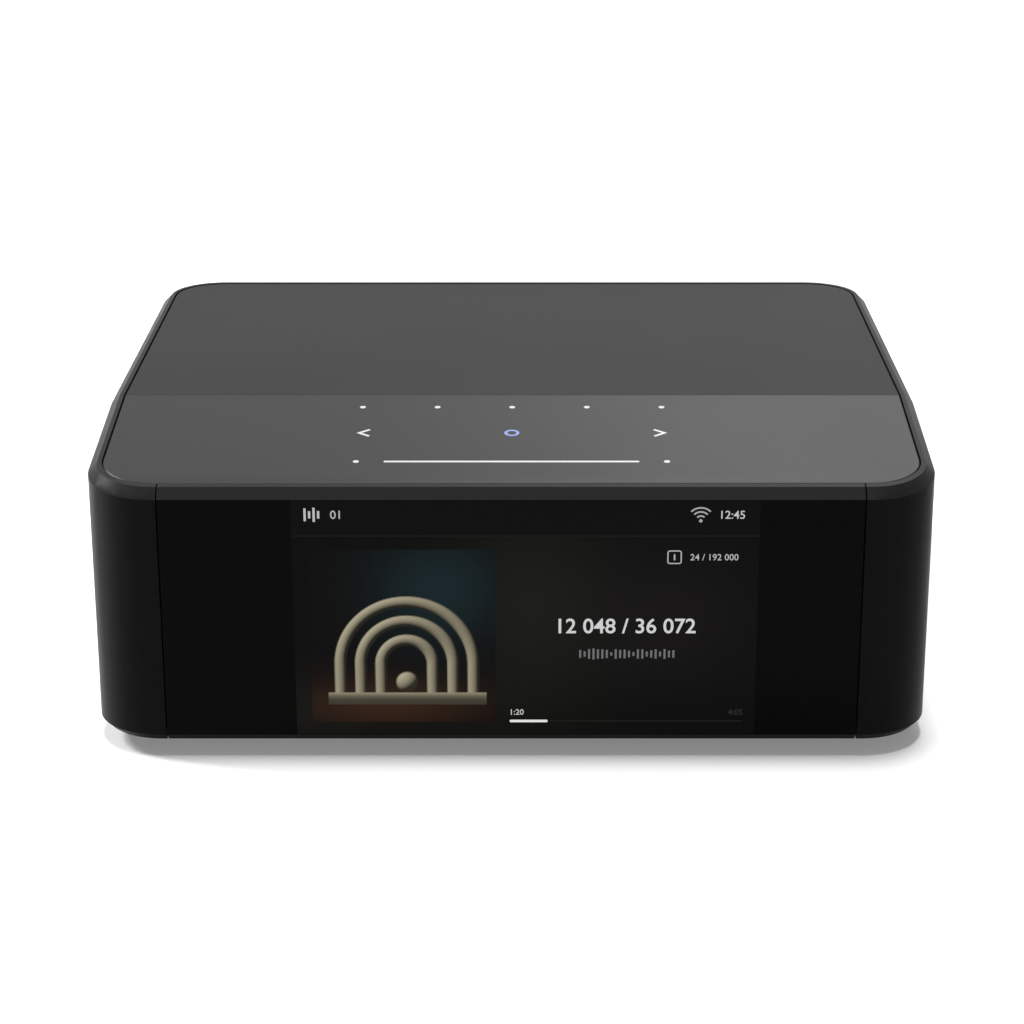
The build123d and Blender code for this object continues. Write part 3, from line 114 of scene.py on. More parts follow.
# Each panel's place, width and height in metres, and its power in watts
LIGHT_PANELS = {
    "left_panel": ((-0.987, 0.321, 0.822), (0.3, 0.3), 18.0),
    "right_panel": ((0.462, 1.269, 1.25), (0.9, 0.3), 6.0),
}
PANEL_AIM = Vector((0, 0, 0.04))
CAMERA_PLACE = (0.00464, -0.7211, 0.28565)
CAMERA_LENS, CAMERA_SHIFT, CAMERA_FALL = 91.8, -0.0169, math.radians(19.16)


def linear(code):
    """A colour written as sRGB hex, as the linear numbers that a shader takes."""
    parts = [int(code[start:start + 2], 16) / 255 for start in (1, 3, 5)]
    return tuple(
        part / 12.92 if part <= 0.04045 else ((part + 0.055) / 1.055) ** 2.4 for part in parts
    )


def solid(code):
    """A hex colour with full opacity, as a colour socket takes it."""
    return (*linear(code), 1.0)


def size_property(name, description, millimetres):
    """A length that a user may change, kept in metres."""
    return bpy.props.FloatProperty(
        name=name, description=description, default=millimetres * MM, unit="LENGTH", precision=5
    )


def colour_property(name, description, code):
    """A colour that a user may change, from its sRGB hex value."""
    return bpy.props.FloatVectorProperty(
        name=name, description=description, default=linear(code), subtype="COLOR", min=0, max=1
    )


class StreamerSizes(bpy.types.PropertyGroup):
    """Sizes of the finishes, the symbols and the picture."""

    slope: bpy.props.FloatProperty(
        name="Slope", description="Fall of the touch glass", default=math.radians(7.35),
        subtype="ANGLE",
    )
    edge_round: size_property("Edge round", "Rounding of the housing's sharp edges", 0.22)
    small_round: size_property("Small round", "Rounding of small parts' edges", 0.1)
    dot_radius: size_property("Dot radius", "Radius of a touch dot", 0.8)
    dot_pitch: size_property("Dot pitch", "Step between the five preset dots", 20.25)
    dot_row: size_property("Dot row", "Depth of the preset dots from the front", 51.6)
    arrow_row: size_property("Arrow row", "Depth of the arrows and ring from the front", 35.1)
    arrow_span: size_property("Arrow span", "Half the distance between the two arrows", 39.2)
    arrow_length: size_property("Arrow length", "Length of an arrow", 2.8)
    arrow_width: size_property("Arrow width", "Width of an arrow at its open end", 4.1)
    ring_radius: size_property("Ring radius", "Outer radius of the middle ring", 2.0)
    stroke: size_property("Stroke", "Width of a symbol's line", 0.8)
    slider_row: size_property("Slider row", "Depth of the volume line from the front", 17.5)
    slider_width: size_property("Slider width", "Width of the volume line", 0.95)
    slider_half: size_property("Slider half length", "Half the volume line's length", 33.2)
    slider_dot_span: size_property("Slider dot span", "Half the distance of its end dots", 40.4)
    ink: size_property("Ink", "Thickness of symbols and picture layers", 0.02)
    window_set: size_property("Window set-back", "Depth of the window behind the front", 0.05)
    picture_width: size_property("Picture width", "Active width of the display", 119.5)
    cover_size: size_property("Cover size", "Side of the square cover picture", 47.9)


class StreamerColours(bpy.types.PropertyGroup):
    """Colours of the finishes."""

    paint: colour_property("Paint", "Powder coat of the housing", "#252526")
    cover: colour_property("Cover", "Plastic of the rear cover", "#1f1f20")
    touch: colour_property("Touch glass", "Print under the etched glass", "#232324")
    symbol: colour_property("Symbols", "Backlit symbols", "#e8e8e8")
    ring: colour_property("Ring", "Backlit middle ring", "#7f93ea")
    cream: colour_property("Cream", "Pale shapes of the cover picture", "#c9bfa2")
    teal: colour_property("Teal", "Cool glow of the cover picture", "#1c363c")
    brown: colour_property("Brown", "Warm glow of the cover picture", "#472c1a")
    title: colour_property("Title", "Large figures of the display", "#d2d2d2")
    quiet: colour_property("Quiet", "Second line of the display", "#6e6e6e")
    floor: colour_property("Floor", "Studio floor", "#f7f7f7")


def add_node(tree, kind, inputs=None, **settings):
    """Adds a node with its settings, and gives each named input a value or a link."""
    node = tree.nodes.new(kind)
    for name, value in settings.items():
        setattr(node, name, value)
    for key, value in (inputs or {}).items():
        if isinstance(value, bpy.types.NodeSocket):
            tree.links.new(value, node.inputs[key])
        else:
            node.inputs[key].default_value = value
    return node


def noise(tree, coords, size, detail):
    """Noise with grains of a size in millimetres."""
    return add_node(tree, "ShaderNodeTexNoise", {
        "Vector": coords, "Scale": 1 / (size * MM), "Detail": detail,
    }).outputs["Fac"]


def ranged(tree, value, low, high, least=0.0, most=1.0):
    """A value from least to most, brought to the range from low to high."""
    return add_node(tree, "ShaderNodeMapRange", {
        "Value": value, "From Min": least, "From Max": most, "To Min": low, "To Max": high,
    }).outputs["Result"]


def scaled(tree, colour, share):
    """A colour times a share."""
    return add_node(
        tree, "ShaderNodeVectorMath", {0: colour, "Scale": share}, operation="SCALE"
    ).outputs["Vector"]


def relief(tree, height, depth):
    """The slopes of a relief, its depth in millimetres."""
    return add_node(tree, "ShaderNodeBump", {
        "Height": height, "Distance": depth * MM,
    }).outputs["Normal"]


def empty_tree(holder):
    """The node tree of a material or a world, without its first nodes."""
    holder.use_nodes = True
    holder.node_tree.nodes.clear()
    return holder.node_tree


def new_material(name):
    """A material, its empty node tree and the coordinates of the object that it lies on."""
    material = bpy.data.materials.new(name)
    tree = empty_tree(material)
    return material, tree, add_node(tree, "ShaderNodeTexCoord").outputs["Object"]


def shaded(material, tree, **inputs):
    """Gives a material its Principled shader. Even values are set on the shader's own sockets,
    and an underscore stands for a space in their names."""
    inputs = {name.replace("_", " "): value for name, value in inputs.items()}
    shader = add_node(tree, "ShaderNodeBsdfPrincipled", inputs)
    add_node(tree, "ShaderNodeOutputMaterial", {"Surface": shader.outputs["BSDF"]})
    return material


def grained(
    name, colour, roughness, grain, depth, spread=0.12, cloud=30.0, tone=0.1, **values
):
    """A painted, moulded or etched finish. Grain, its depth and the slow clouds of gloss are in
    millimetres, spread and tone are shares by which gloss and colour vary."""
    material, tree, coords = new_material(name)
    fine = noise(tree, coords, grain, detail=3.0)
    slow = noise(tree, coords, cloud, detail=3.0)
    shade = ranged(tree, fine, 1 - tone, 1 + tone, least=0.25, most=0.75)
    gloss = ranged(
        tree, slow, roughness * (1 - spread), roughness * (1 + spread), least=0.3, most=0.7
    )
    return shaded(material, tree, Base_Color=scaled(tree, colour, shade), Roughness=gloss,
                  Normal=relief(tree, fine, depth), **values)


def plated(name, code, roughness, stretch, line, depth):
    """A metal finish with drawn, brushed or turned lines, their width and depth in millimetres.
    On each axis, a small stretch makes them long."""
    material, tree, coords = new_material(name)
    drawn = add_node(tree, "ShaderNodeMapping", {"Vector": coords, "Scale": stretch})
    lines = noise(tree, drawn.outputs["Vector"], line, detail=4.0)
    # Faint stains, 6 mm across
    stain = noise(tree, coords, 6, detail=2.0)
    shade = ranged(tree, stain, 0.82, 1.1)
    gloss = ranged(tree, lines, roughness * 0.7, roughness * 1.3)
    return shaded(material, tree, Base_Color=scaled(tree, linear(code), shade), Metallic=1.0,
                  Roughness=gloss, Normal=relief(tree, lines, depth))


def lit_picture():
    """A display seen through the window: each point glows in its own colour, through fine rows."""
    material, tree, coords = new_material("lit_display_cell")
    tint = add_node(tree, "ShaderNodeAttribute", attribute_name="tint").outputs["Color"]
    # Real pixels are 0.15 mm apart. They are drawn at 0.5 mm, the least that shows. At scale 1,
    # the rows of the wave node are pi / 10 apart.
    rows = add_node(tree, "ShaderNodeTexWave", {
        "Vector": coords, "Scale": math.pi / (10 * 0.5 * MM), "Distortion": 0.0,
    }, bands_direction="Z", wave_profile="SIN").outputs["Fac"]
    glow = scaled(tree, tint, ranged(tree, rows, 0.93, 1.0))
    return shaded(material, tree, Base_Color=solid("#040404"), Roughness=0.08,
                  Specular_IOR_Level=0.035, Emission_Color=glow, Emission_Strength=1.0)


def backlit_ink(name, colour):
    """A clear opening in the print, lit from below by the light guide: even, slightly mottled."""
    material, tree, coords = new_material(name)
    # The guide's mottle is 0.8 mm across
    level = ranged(tree, noise(tree, coords, 0.8, detail=2.0), 0.85, 1.1)
    return shaded(material, tree, Base_Color=solid("#3c3c3c"), Roughness=0.4,
                  Emission_Color=scaled(tree, colour, level), Emission_Strength=0.85)


def solder_mask():
    """Circuit board: a green lacquer over copper tracks, which show as faint raised lines."""
    material, tree, coords = new_material("solder_mask_board")
    # Blocks of tracks 8 mm wide
    tracks = add_node(tree, "ShaderNodeTexBrick", {
        "Vector": coords, "Color1": solid("#12301f"), "Color2": solid("#163a26"),
        "Mortar": solid("#2a5a3c"), "Scale": 1 / (8 * MM), "Mortar Size": 0.03,
        "Brick Width": 0.9, "Row Height": 0.22,
    })
    return shaded(material, tree, Base_Color=tracks.outputs["Color"], Roughness=0.35,
                  Normal=relief(tree, tracks.outputs["Fac"], 0.03))


materials = {}


def make_materials():
    """Makes each finish once. The comments say what each one is and what it gives the eye."""
    colours = bpy.context.scene.streamer_colours
    materials.update(
        # Die-cast aluminium with a satin black powder coat: a fine even grain and a soft sheen
        paint=grained(
            "powder_coated_aluminium", colours.paint, 0.41, grain=0.35, depth=0.006,
            spread=0.05, tone=0.12, Specular_IOR_Level=0.045,
        ),
        # Injection-moulded cover over the antennas: finer and a little softer than the coat
        cover=grained(
            "moulded_polycarbonate", colours.cover, 0.46, grain=0.3, depth=0.004,
            spread=0.03, tone=0.06, cloud=70.0, Specular_IOR_Level=0.055,
        ),
        # Acid-etched cover glass over a dark print: a silky surface that takes a soft sheen
        touch=grained(
            "etched_glass", colours.touch, 0.38, grain=0.25, depth=0.002,
            spread=0.04, tone=0.05, cloud=55.0, Specular_IOR_Level=0.15,
        ),
        # Float glass, anti-reflective, over a black print: nearly black, with faint wipe marks
        window=grained(
            "coated_window_glass", linear("#030303"), 0.07, grain=9.0, depth=0.0005,
            spread=0.3, cloud=40.0, tone=0.2, Specular_IOR_Level=0.035,
        ),
        picture=lit_picture(),
        symbol=backlit_ink("backlit_clear_print", colours.symbol),
        ring=backlit_ink("backlit_blue_print", colours.ring),
        # Folded steel with a matt black powder coat: rougher and flatter than the housing
        rear=grained(
            "powder_coated_steel", linear("#1a1a1b"), 0.6, grain=0.4, depth=0.01,
            Specular_IOR_Level=0.25,
        ),
        # Compression-moulded rubber: dull, with a faint bloom
        rubber=grained(
            "moulded_rubber", linear("#161616"), 0.8, grain=0.5, depth=0.02, cloud=6.0, tone=0.2
        ),
        # Machine screws in black zinc: dark, with a dull metal glint
        screw=plated("black_zinc_steel", "#2c2c2e", 0.4, (1, 1, 1), 0.3, 0.003),
        # Glass-filled nylon socket bodies: an even grain from the mould
        nylon=grained("moulded_nylon", linear("#141414"), 0.5, grain=0.25, depth=0.006),
        # ABS of button and shutters: smoother and a little lighter than the nylon
        abs=grained("moulded_abs", linear("#232324"), 0.38, grain=0.2, depth=0.003),
        # Drawn steel socket shells, nickel plated: lines run into the socket
        nickel=plated("nickel_plated_steel", "#c9c6c0", 0.24, (1, 0.06, 1), 0.12, 0.001),
        # Turned brass barrels, nickel plated: fine rings from the lathe
        turned=plated("nickel_plated_brass", "#d6d0c2", 0.16, (0.4, 6, 0.4), 0.4, 0.002),
        # Stamped contacts, gold plated: a warm gloss with lines along each spring
        gold=plated("gold_plated_bronze", "#d8ae55", 0.2, (1, 0.1, 1), 0.1, 0.001),
        # Moulded polyester rings: smooth and even, in two colours that tell the channels apart
        white_ring=grained("moulded_white_pbt", linear("#d9d7d0"), 0.45, grain=0.2, depth=0.002),
        red_ring=grained("moulded_red_pbt", linear("#a3221d"), 0.45, grain=0.2, depth=0.002),
        # Bright sheet steel, stamped and folded: rolling lines across its width
        steel=plated("bright_sheet_steel", "#b9bbbd", 0.3, (0.05, 1, 1), 0.2, 0.002),
        # Extruded aluminium, anodised black: dark, with lines along the fins
        sink=plated("black_anodised_aluminium", "#2a2a2c", 0.45, (1, 0.05, 1), 0.2, 0.004),
        # Pressed and fired ferrite: dull, dark and a little rough
        ferrite=grained("sintered_ferrite", linear("#26241f"), 0.7, grain=0.3, depth=0.02),
        # Sleeve shrunk on a capacitor: glossy, with slight waves
        sleeve=grained("shrink_sleeve", linear("#15182a"), 0.25, grain=1.2, depth=0.004),
        # Amber film of a flat cable: glossy, with slight waves
        film=grained("polyimide_film", linear("#8a4f17"), 0.3, grain=1.0, depth=0.002),
        # Moulded acrylic of the light guide: smooth and pale
        clear=grained("moulded_acrylic_guide", linear("#cfd3d6"), 0.15, grain=1.5, depth=0.002),
        board=solder_mask(),
    )


def new_object(name, data):
    """Makes an object and puts it into the scene."""
    made = bpy.data.objects.new(name, data)
    bpy.context.scene.collection.objects.link(made)
    return made


def new_piece(name, mesh, *finishes):
    """Puts a mesh into the scene under a name, with its materials."""
    piece = new_object(name, mesh)
    mesh.name = name
    if mesh.materials:
        # Only where a tree has set one, because this puts every face back to the first finish
        mesh.materials.clear()
    for finish in finishes:
        mesh.materials.append(materials[finish])
    return piece


def add_piece(name, mesh, finish):
    """A new piece that rides on the housing, with its finish."""
    piece = new_piece(name, mesh, finish)
    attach(piece, "housing")


def stand_for(piece, node, body="housing"):
    """Lets a piece take the place of a CAD node and on its body."""
    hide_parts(node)
    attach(piece, body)


def bm_mesh(shape, name):
    """Turns a bmesh into a mesh and frees it."""
    mesh = bpy.data.meshes.new(name)
    shape.to_mesh(mesh)
    shape.free()
    return mesh


def outward_mesh(shape, name):
    """Turns a bmesh into a mesh whose faces all look outward."""
    bmesh.ops.recalc_face_normals(shape, faces=shape.faces)
    return bm_mesh(shape, name)


def set_level(made, level):
    """Moves the new points of an extrusion to a level."""
    for item in made["geom"]:
        if isinstance(item, bmesh.types.BMVert):
            item.co.z = level


def plain_mesh(holder):
    """The plain mesh that an object gives with its modifiers or its text."""
    depsgraph = bpy.context.evaluated_depsgraph_get()
    return bpy.data.meshes.new_from_object(holder.evaluated_get(depsgraph), depsgraph=depsgraph)


def bevelled(piece, width, segments, **settings):
    """Rounds a piece's edges and leaves it a plain mesh."""
    bevel = piece.modifiers.new("round", "BEVEL")
    bevel.width, bevel.segments = width, segments
    for name, value in settings.items():
        setattr(bevel, name, value)
    mesh = plain_mesh(piece)
    piece.modifiers.clear()
    piece.data = mesh


def finished_copy(node, rounding, *finishes, second=None, body="housing"):
    """A merged copy of a CAD node with its edges broken. It stands for the node. Faces whose middle
    meets the rule called second take the second finish."""
    shape = bmesh.new()
    shape.from_mesh(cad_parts[node].data)
    bmesh.ops.remove_doubles(shape, verts=shape.verts, dist=MERGE)
    bmesh.ops.dissolve_limit(shape, angle_limit=FLAT, verts=shape.verts, edges=shape.edges)
    for face in shape.faces:
        face.material_index = int(bool(second and second(face.calc_center_median())))
        face.smooth = True
    piece = new_piece(node + "_finish", bm_mesh(shape, node), *finishes)
    piece.data.set_sharp_from_angle(angle=SHARP)
    bevelled(piece, rounding, 2, limit_method="ANGLE", angle_limit=SHARP, harden_normals=True)
    stand_for(piece, node, body)


def dress(finish, *nodes):
    """Gives CAD nodes that stay as they are their finish."""
    for node in nodes:
        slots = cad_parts[node].data.materials
        slots.clear()
        slots.append(materials[finish])


def row_tree(name, inputs, add_shape):
    """A Geometry Nodes tree with named inputs that sets copies of a shape in a row along X.
    add_shape adds the shape's own nodes, and gives its mesh and the scale of the copies."""
    tree = bpy.data.node_groups.new(name, "GeometryNodeTree")
    inputs = {"Count": ("Int", 5), "Pitch": ("Float", MM), "Thickness": ("Float", MM), **inputs}
    for label, (kind, value) in inputs.items():
        kind = "NodeSocket" + kind
        tree.interface.new_socket(label, in_out="INPUT", socket_type=kind).default_value = value
    tree.interface.new_socket("Material", in_out="INPUT", socket_type="NodeSocketMaterial")
    tree.interface.new_socket("Geometry", in_out="OUTPUT", socket_type="NodeSocketGeometry")
    given = add_node(tree, "NodeGroupInput").outputs
    step = add_node(tree, "ShaderNodeCombineXYZ", {"X": given["Pitch"]})
    line = add_node(tree, "GeometryNodeMeshLine", {
        "Count": given["Count"], "Offset": step.outputs["Vector"],
    })
    mesh, scale = add_shape(tree, given)
    placed = add_node(tree, "GeometryNodeInstanceOnPoints", {
        "Points": line.outputs["Mesh"], "Instance": mesh, "Scale": scale,
    })
    real = add_node(tree, "GeometryNodeRealizeInstances", {
        "Geometry": placed.outputs["Instances"],
    })
    coated = add_node(tree, "GeometryNodeSetMaterial", {
        "Geometry": real.outputs["Geometry"], "Material": given["Material"],
    })
    add_node(tree, "NodeGroupOutput", {"Geometry": coated.outputs["Geometry"]})
    return tree


def dot_row_tree():
    """Discs in a straight row."""
    def add_disc(tree, given):
        disc = add_node(tree, "GeometryNodeMeshCylinder", {
            "Vertices": 32, "Radius": given["Radius"], "Depth": given["Thickness"],
        })
        return disc.outputs["Mesh"], (1.0, 1.0, 1.0)

    return row_tree("dot_row", {"Radius": ("Float", MM)}, add_disc)


def bar_row_tree():
    """Bars side by side. Their lengths along Y lie between two values, drawn from a seed."""
    def add_bar(tree, given):
        size = add_node(tree, "ShaderNodeCombineXYZ", {
            "X": given["Width"], "Y": 1.0, "Z": given["Thickness"],
        })
        bar = add_node(tree, "GeometryNodeMeshCube", {"Size": size.outputs["Vector"]})
        length = add_node(tree, "FunctionNodeRandomValue", {
            2: given["Least"], 3: given["Most"], "Seed": given["Seed"],
        }, data_type="FLOAT")
        scale = add_node(tree, "ShaderNodeCombineXYZ", {
            "X": 1.0, "Y": length.outputs[1], "Z": 1.0,
        })
        return bar.outputs["Mesh"], scale.outputs["Vector"]

    lengths = {label: ("Float", MM) for label in ("Width", "Least", "Most")}
    return row_tree("bar_row", {**lengths, "Seed": ("Int", 1)}, add_bar)


def run_tree(tree, finish, **values):
    """Runs a tree with these inputs, and gives the plain mesh that it makes, centred."""
    holder = new_object("holder", bpy.data.meshes.new("holder"))
    modifier = holder.modifiers.new("pattern", "NODES")
    modifier.node_group = tree
    values["Material"] = materials[finish]
    for item in tree.interface.items_tree:
        if item.in_out == "INPUT" and item.name in values:
            modifier[item.identifier] = values[item.name]
    mesh = plain_mesh(holder)
    holder.modifiers.clear()
    bpy.data.objects.remove(holder)
    return centred(mesh)


def centred(mesh):
    """Moves a mesh so that the middle of its box is at the origin."""
    points = [vertex.co for vertex in mesh.vertices]
    low = Vector([min(p[i] for p in points) for i in range(3)])
    high = Vector([max(p[i] for p in points) for i in range(3)])
    mesh.transform(Matrix.Translation(-(low + high) / 2))
    return mesh


def joined(meshes):
    """Several meshes as one."""
    shape = bmesh.new()
    for mesh in meshes:
        shape.from_mesh(mesh)
    return bm_mesh(shape, "joined")


def stroke_mesh(points, width, thickness, close=False):
    """A flat line of even width through plan points, with mitred corners. No corner reaches out
    by more than half the width over least_across."""
    shape = bmesh.new()
    count = len(points)
    least_across = 0.3
    rings = []
    for index, point in enumerate(points):
        before = points[index - 1] if index or close else point
        after = points[(index + 1) % count] if index < count - 1 or close else point
        arrive, leave = Vector(point) - Vector(before), Vector(after) - Vector(point)
        arrive = arrive.normalized() if arrive.length else leave.normalized()
        leave = leave.normalized() if leave.length else arrive
        normal = Vector((-(arrive + leave).y, (arrive + leave).x)).normalized()
        across = normal.dot(Vector((-arrive.y, arrive.x)))
        reach = normal * (width / 2 / max(across, least_across))
        rings.append([
            shape.verts.new((*side, z))
            for z in (thickness / 2, -thickness / 2)
            for side in (Vector(point) + reach, Vector(point) - reach)
        ])
    for index in range(count if close else count - 1):
        a, b = rings[index], rings[(index + 1) % count]
        for i, j in ((0, 1), (1, 3), (3, 2), (2, 0)):
            shape.faces.new((a[i], a[j], b[j], b[i]))
    if not close:
        for ring in (rings[0], rings[-1]):
            shape.faces.new((ring[0], ring[1], ring[3], ring[2]))
    return outward_mesh(shape, "stroke")


def arc_points(radius, start, end, steps, centre=(0, 0)):
    """Points along an arc in plan, angles in degrees."""
    turns = [math.radians(start + (end - start) * step / steps) for step in range(steps + 1)]
    return [(centre[0] + radius * math.cos(t), centre[1] + radius * math.sin(t)) for t in turns]


def round_corners(width, height, radius, steps):
    """The outline of a rectangle with round corners, centred."""
    reach_x, reach_y = width / 2 - radius, height / 2 - radius
    return [
        point
        for x, y, start in ((1, 1, 0), (-1, 1, 90), (-1, -1, 180), (1, -1, 270))
        for point in arc_points(radius, start, start + 90, steps, (x * reach_x, y * reach_y))
    ]


def rounded_plate(width, height, radius, thickness):
    """A flat plate with round corners, centred."""
    shape = bmesh.new()
    corners = round_corners(width, height, radius, 5)
    low = shape.faces.new([shape.verts.new((*point, -thickness / 2)) for point in corners])
    set_level(bmesh.ops.extrude_face_region(shape, geom=[low]), thickness / 2)
    return outward_mesh(shape, "plate")


def ring_mesh(inner, outer, thickness):
    """A flat washer, centred, with its axis along Z."""
    steps = 48
    points = arc_points((inner + outer) / 2, 0, 360 - 360 / steps, steps - 1)
    return stroke_mesh(points, outer - inner, thickness, close=True)


def figures_mesh(text, height, thickness, weight=0.008):
    """Plain figures as a flat mesh, centred, with a given height. Weight thickens their strokes."""
    curve = bpy.data.curves.new("figures", "FONT")
    curve.body = text
    curve.align_x, curve.align_y = "LEFT", "BOTTOM"
    curve.resolution_u = 4
    curve.offset = weight
    holder = new_object("figures", curve)
    mesh = plain_mesh(holder)
    bpy.data.objects.remove(holder)
    levels = [vertex.co.y for vertex in mesh.vertices]
    mesh.transform(Matrix.Scale(height / (max(levels) - min(levels)), 4))
    shape = bmesh.new()
    shape.from_mesh(mesh)
    bmesh.ops.remove_doubles(shape, verts=shape.verts, dist=1e-7)
    set_level(bmesh.ops.extrude_face_region(shape, geom=shape.faces[:]), thickness)
    return centred(outward_mesh(shape, "figures"))


def on_slope(mesh, x, row):
    """Lays a flat mesh on the touch glass, at a distance from the front of the housing."""
    slope = math.tan(bpy.context.scene.streamer_sizes.slope)
    ridge = touch_box[1]
    for vertex in mesh.vertices:
        vertex.co.x += x
        vertex.co.y += cad_box[0].y + row
        vertex.co.z += ridge.z - (ridge.y - vertex.co.y) * slope
    return mesh


def upright_on_window(mesh, x, z, layer):
    """Stands a flat mesh up on the window, facing the front, in one of the picture's layers."""
    sizes = bpy.context.scene.streamer_sizes
    y = glass_box[0].y + sizes.window_set - layer * sizes.ink / 2
    mesh.transform(Matrix.Translation((x, y, z)) @ Matrix.Rotation(math.pi / 2, 4, "X"))
    return mesh


def tinted(mesh, colours):
    """Gives the points of a mesh the colours in which the display shows them."""
    tint = mesh.attributes.new("tint", "FLOAT_COLOR", "POINT")
    rows = np.ones((len(mesh.vertices), 4))
    rows[:, :3] = colours
    tint.data.foreach_set("color", rows.ravel())
    return mesh


def ordered_rim(shape, level):
    """The points of the open rim at a level, in order round it."""
    first = next(
        e for e in shape.edges
        if e.is_boundary and all(abs(v.co.z - level) < 1e-9 for v in e.verts)
    )
    ring, edge = [first.verts[0]], first
    while True:
        after = edge.other_vert(ring[-1])
        if after == ring[0]:
            return ring
        ring.append(after)
        edge = next(e for e in after.link_edges if e.is_boundary and e != edge)


def field_mesh(width, height, cells, thickness, colour_at):
    """A flat sheet whose points glow as colour_at says for shares of its width and height."""
    shape = bmesh.new()
    bmesh.ops.create_grid(shape, x_segments=cells[0], y_segments=cells[1], size=0.5)
    for vertex in shape.verts:
        vertex.co.x *= width
        vertex.co.y *= height
        vertex.co.z = thickness / 2
    rim = [edge for edge in shape.edges if edge.is_boundary]
    set_level(bmesh.ops.extrude_edge_only(shape, edges=rim), -thickness / 2)
    shape.faces.new(ordered_rim(shape, -thickness / 2))
    mesh = outward_mesh(shape, "field")
    points = np.zeros(len(mesh.vertices) * 3)
    mesh.vertices.foreach_get("co", points)
    across, up = points[0::3] / width + 0.5, points[1::3] / height + 0.5
    return tinted(mesh, colour_at(across, up))


def glow_at(u, v, middle, spread, colour):
    """A soft round glow on a sheet."""
    fall = np.exp(-((u - middle[0]) / spread[0]) ** 2 - ((v - middle[1]) / spread[1]) ** 2)
    return fall[:, None] * np.array(colour)


def background_colours(u, v):
    """The display behind everything: near black, with a header band and faint glows."""
    header_foot = 0.862
    shade = np.tile(linear("#060606"), (len(u), 1))
    for middle, spread, code in (
        ((0.5, 0.56), (0.16, 0.4), "#13150f"),
        ((0.06, 0.1), (0.4, 0.16), "#100e09"),
        ((0.8, 0.5), (0.2, 0.3), "#0e0a0b"),
    ):
        shade = shade + glow_at(u, v, middle, spread, linear(code))
    return np.where((v > header_foot)[:, None], linear("#080808"), shade)


def cover_colours(u, v):
    """A generic cover: nested pale arches and a ball on a plinth, with a cool and a warm glow.
    Lengths are shares of its side, and light comes from the upper left."""
    colours = bpy.context.scene.streamer_colours
    cream = np.array(colours.cream)
    middle, spring, foot = 0.52, 0.34, 0.17
    tube, arches = 0.034, (0.36, 0.25, 0.14)
    ball_level, ball_radius = 0.235, 0.062
    plinth_half, plinth_low, plinth_high = 0.43, 0.105, 0.172

    def painted(shade, share, light):
        return shade * (1 - share[:, None]) + (share * light)[:, None] * cream

    shade = np.tile(linear("#080707"), (len(u), 1))
    shade = shade + glow_at(u, v, (0.7, 0.78), (0.34, 0.3), colours.teal) * 0.42
    shade = shade + glow_at(u, v, (0.4, 0.1), (0.5, 0.14), colours.brown) * 0.5
    across, above = u - middle, np.maximum(v - spring, 0)
    reach = np.hypot(across, above)
    slant = (0.5 * above - 0.42 * across) / np.maximum(reach, 1e-6)
    for radius in arches:
        offset = (reach - radius) / tube
        crown = np.sqrt(np.clip(1 - offset ** 2, 0, 1))
        light = np.clip(0.36 * crown + slant * offset, 0.03, 0.8)
        shade = painted(shade, np.clip((1 - np.abs(offset)) * 6, 0, 1) * (v > foot), light)
    side, rise = across / ball_radius, (v - ball_level) / ball_radius
    reach = np.hypot(side, rise)
    crown = np.sqrt(np.clip(1 - reach ** 2, 0, 1))
    light = np.clip(0.36 * crown + 0.5 * rise - 0.4 * side, 0.04, 0.85)
    shade = painted(shade, np.clip((1 - reach) * 8, 0, 1), light)
    plinth = (np.abs(across) < plinth_half) & (v > plinth_low) & (v < plinth_high)
    edge = np.clip((v - plinth_low) / (plinth_high - plinth_low), 0, 1)
    return np.where(plinth[:, None], (0.08 + 0.4 * edge ** 3)[:, None] * cream, shade)


class StreamerOperator(bpy.types.Operator):
    """Shared settings of the operators."""

    bl_options = {"REGISTER", "UNDO"}


class STREAMER_OT_finishes(StreamerOperator):
    """Makes the materials of the streamer"""

    bl_idname = "streamer.finishes"
    bl_label = "Make finishes"

    def execute(self, context):
        make_materials()
        return {"FINISHED"}


class STREAMER_OT_housing(StreamerOperator):
    """Finishes the side shell and the front frame, with their edges broken"""

    bl_idname = "streamer.housing"
    bl_label = "Finish housing"

    def execute(self, context):
        for node in ("side_shell", "front_frame"):
            finished_copy(node, context.scene.streamer_sizes.edge_round, "paint")
        return {"FINISHED"}


class STREAMER_OT_top(StreamerOperator):
    """Finishes the touch glass and the rear cover"""

    bl_idname = "streamer.top"
    bl_label = "Finish top"

    def execute(self, context):
        for node, finish in (("touch_glass", "touch"), ("top_cover", "cover")):
            finished_copy(node, context.scene.streamer_sizes.small_round / 2, finish)
        return {"FINISHED"}


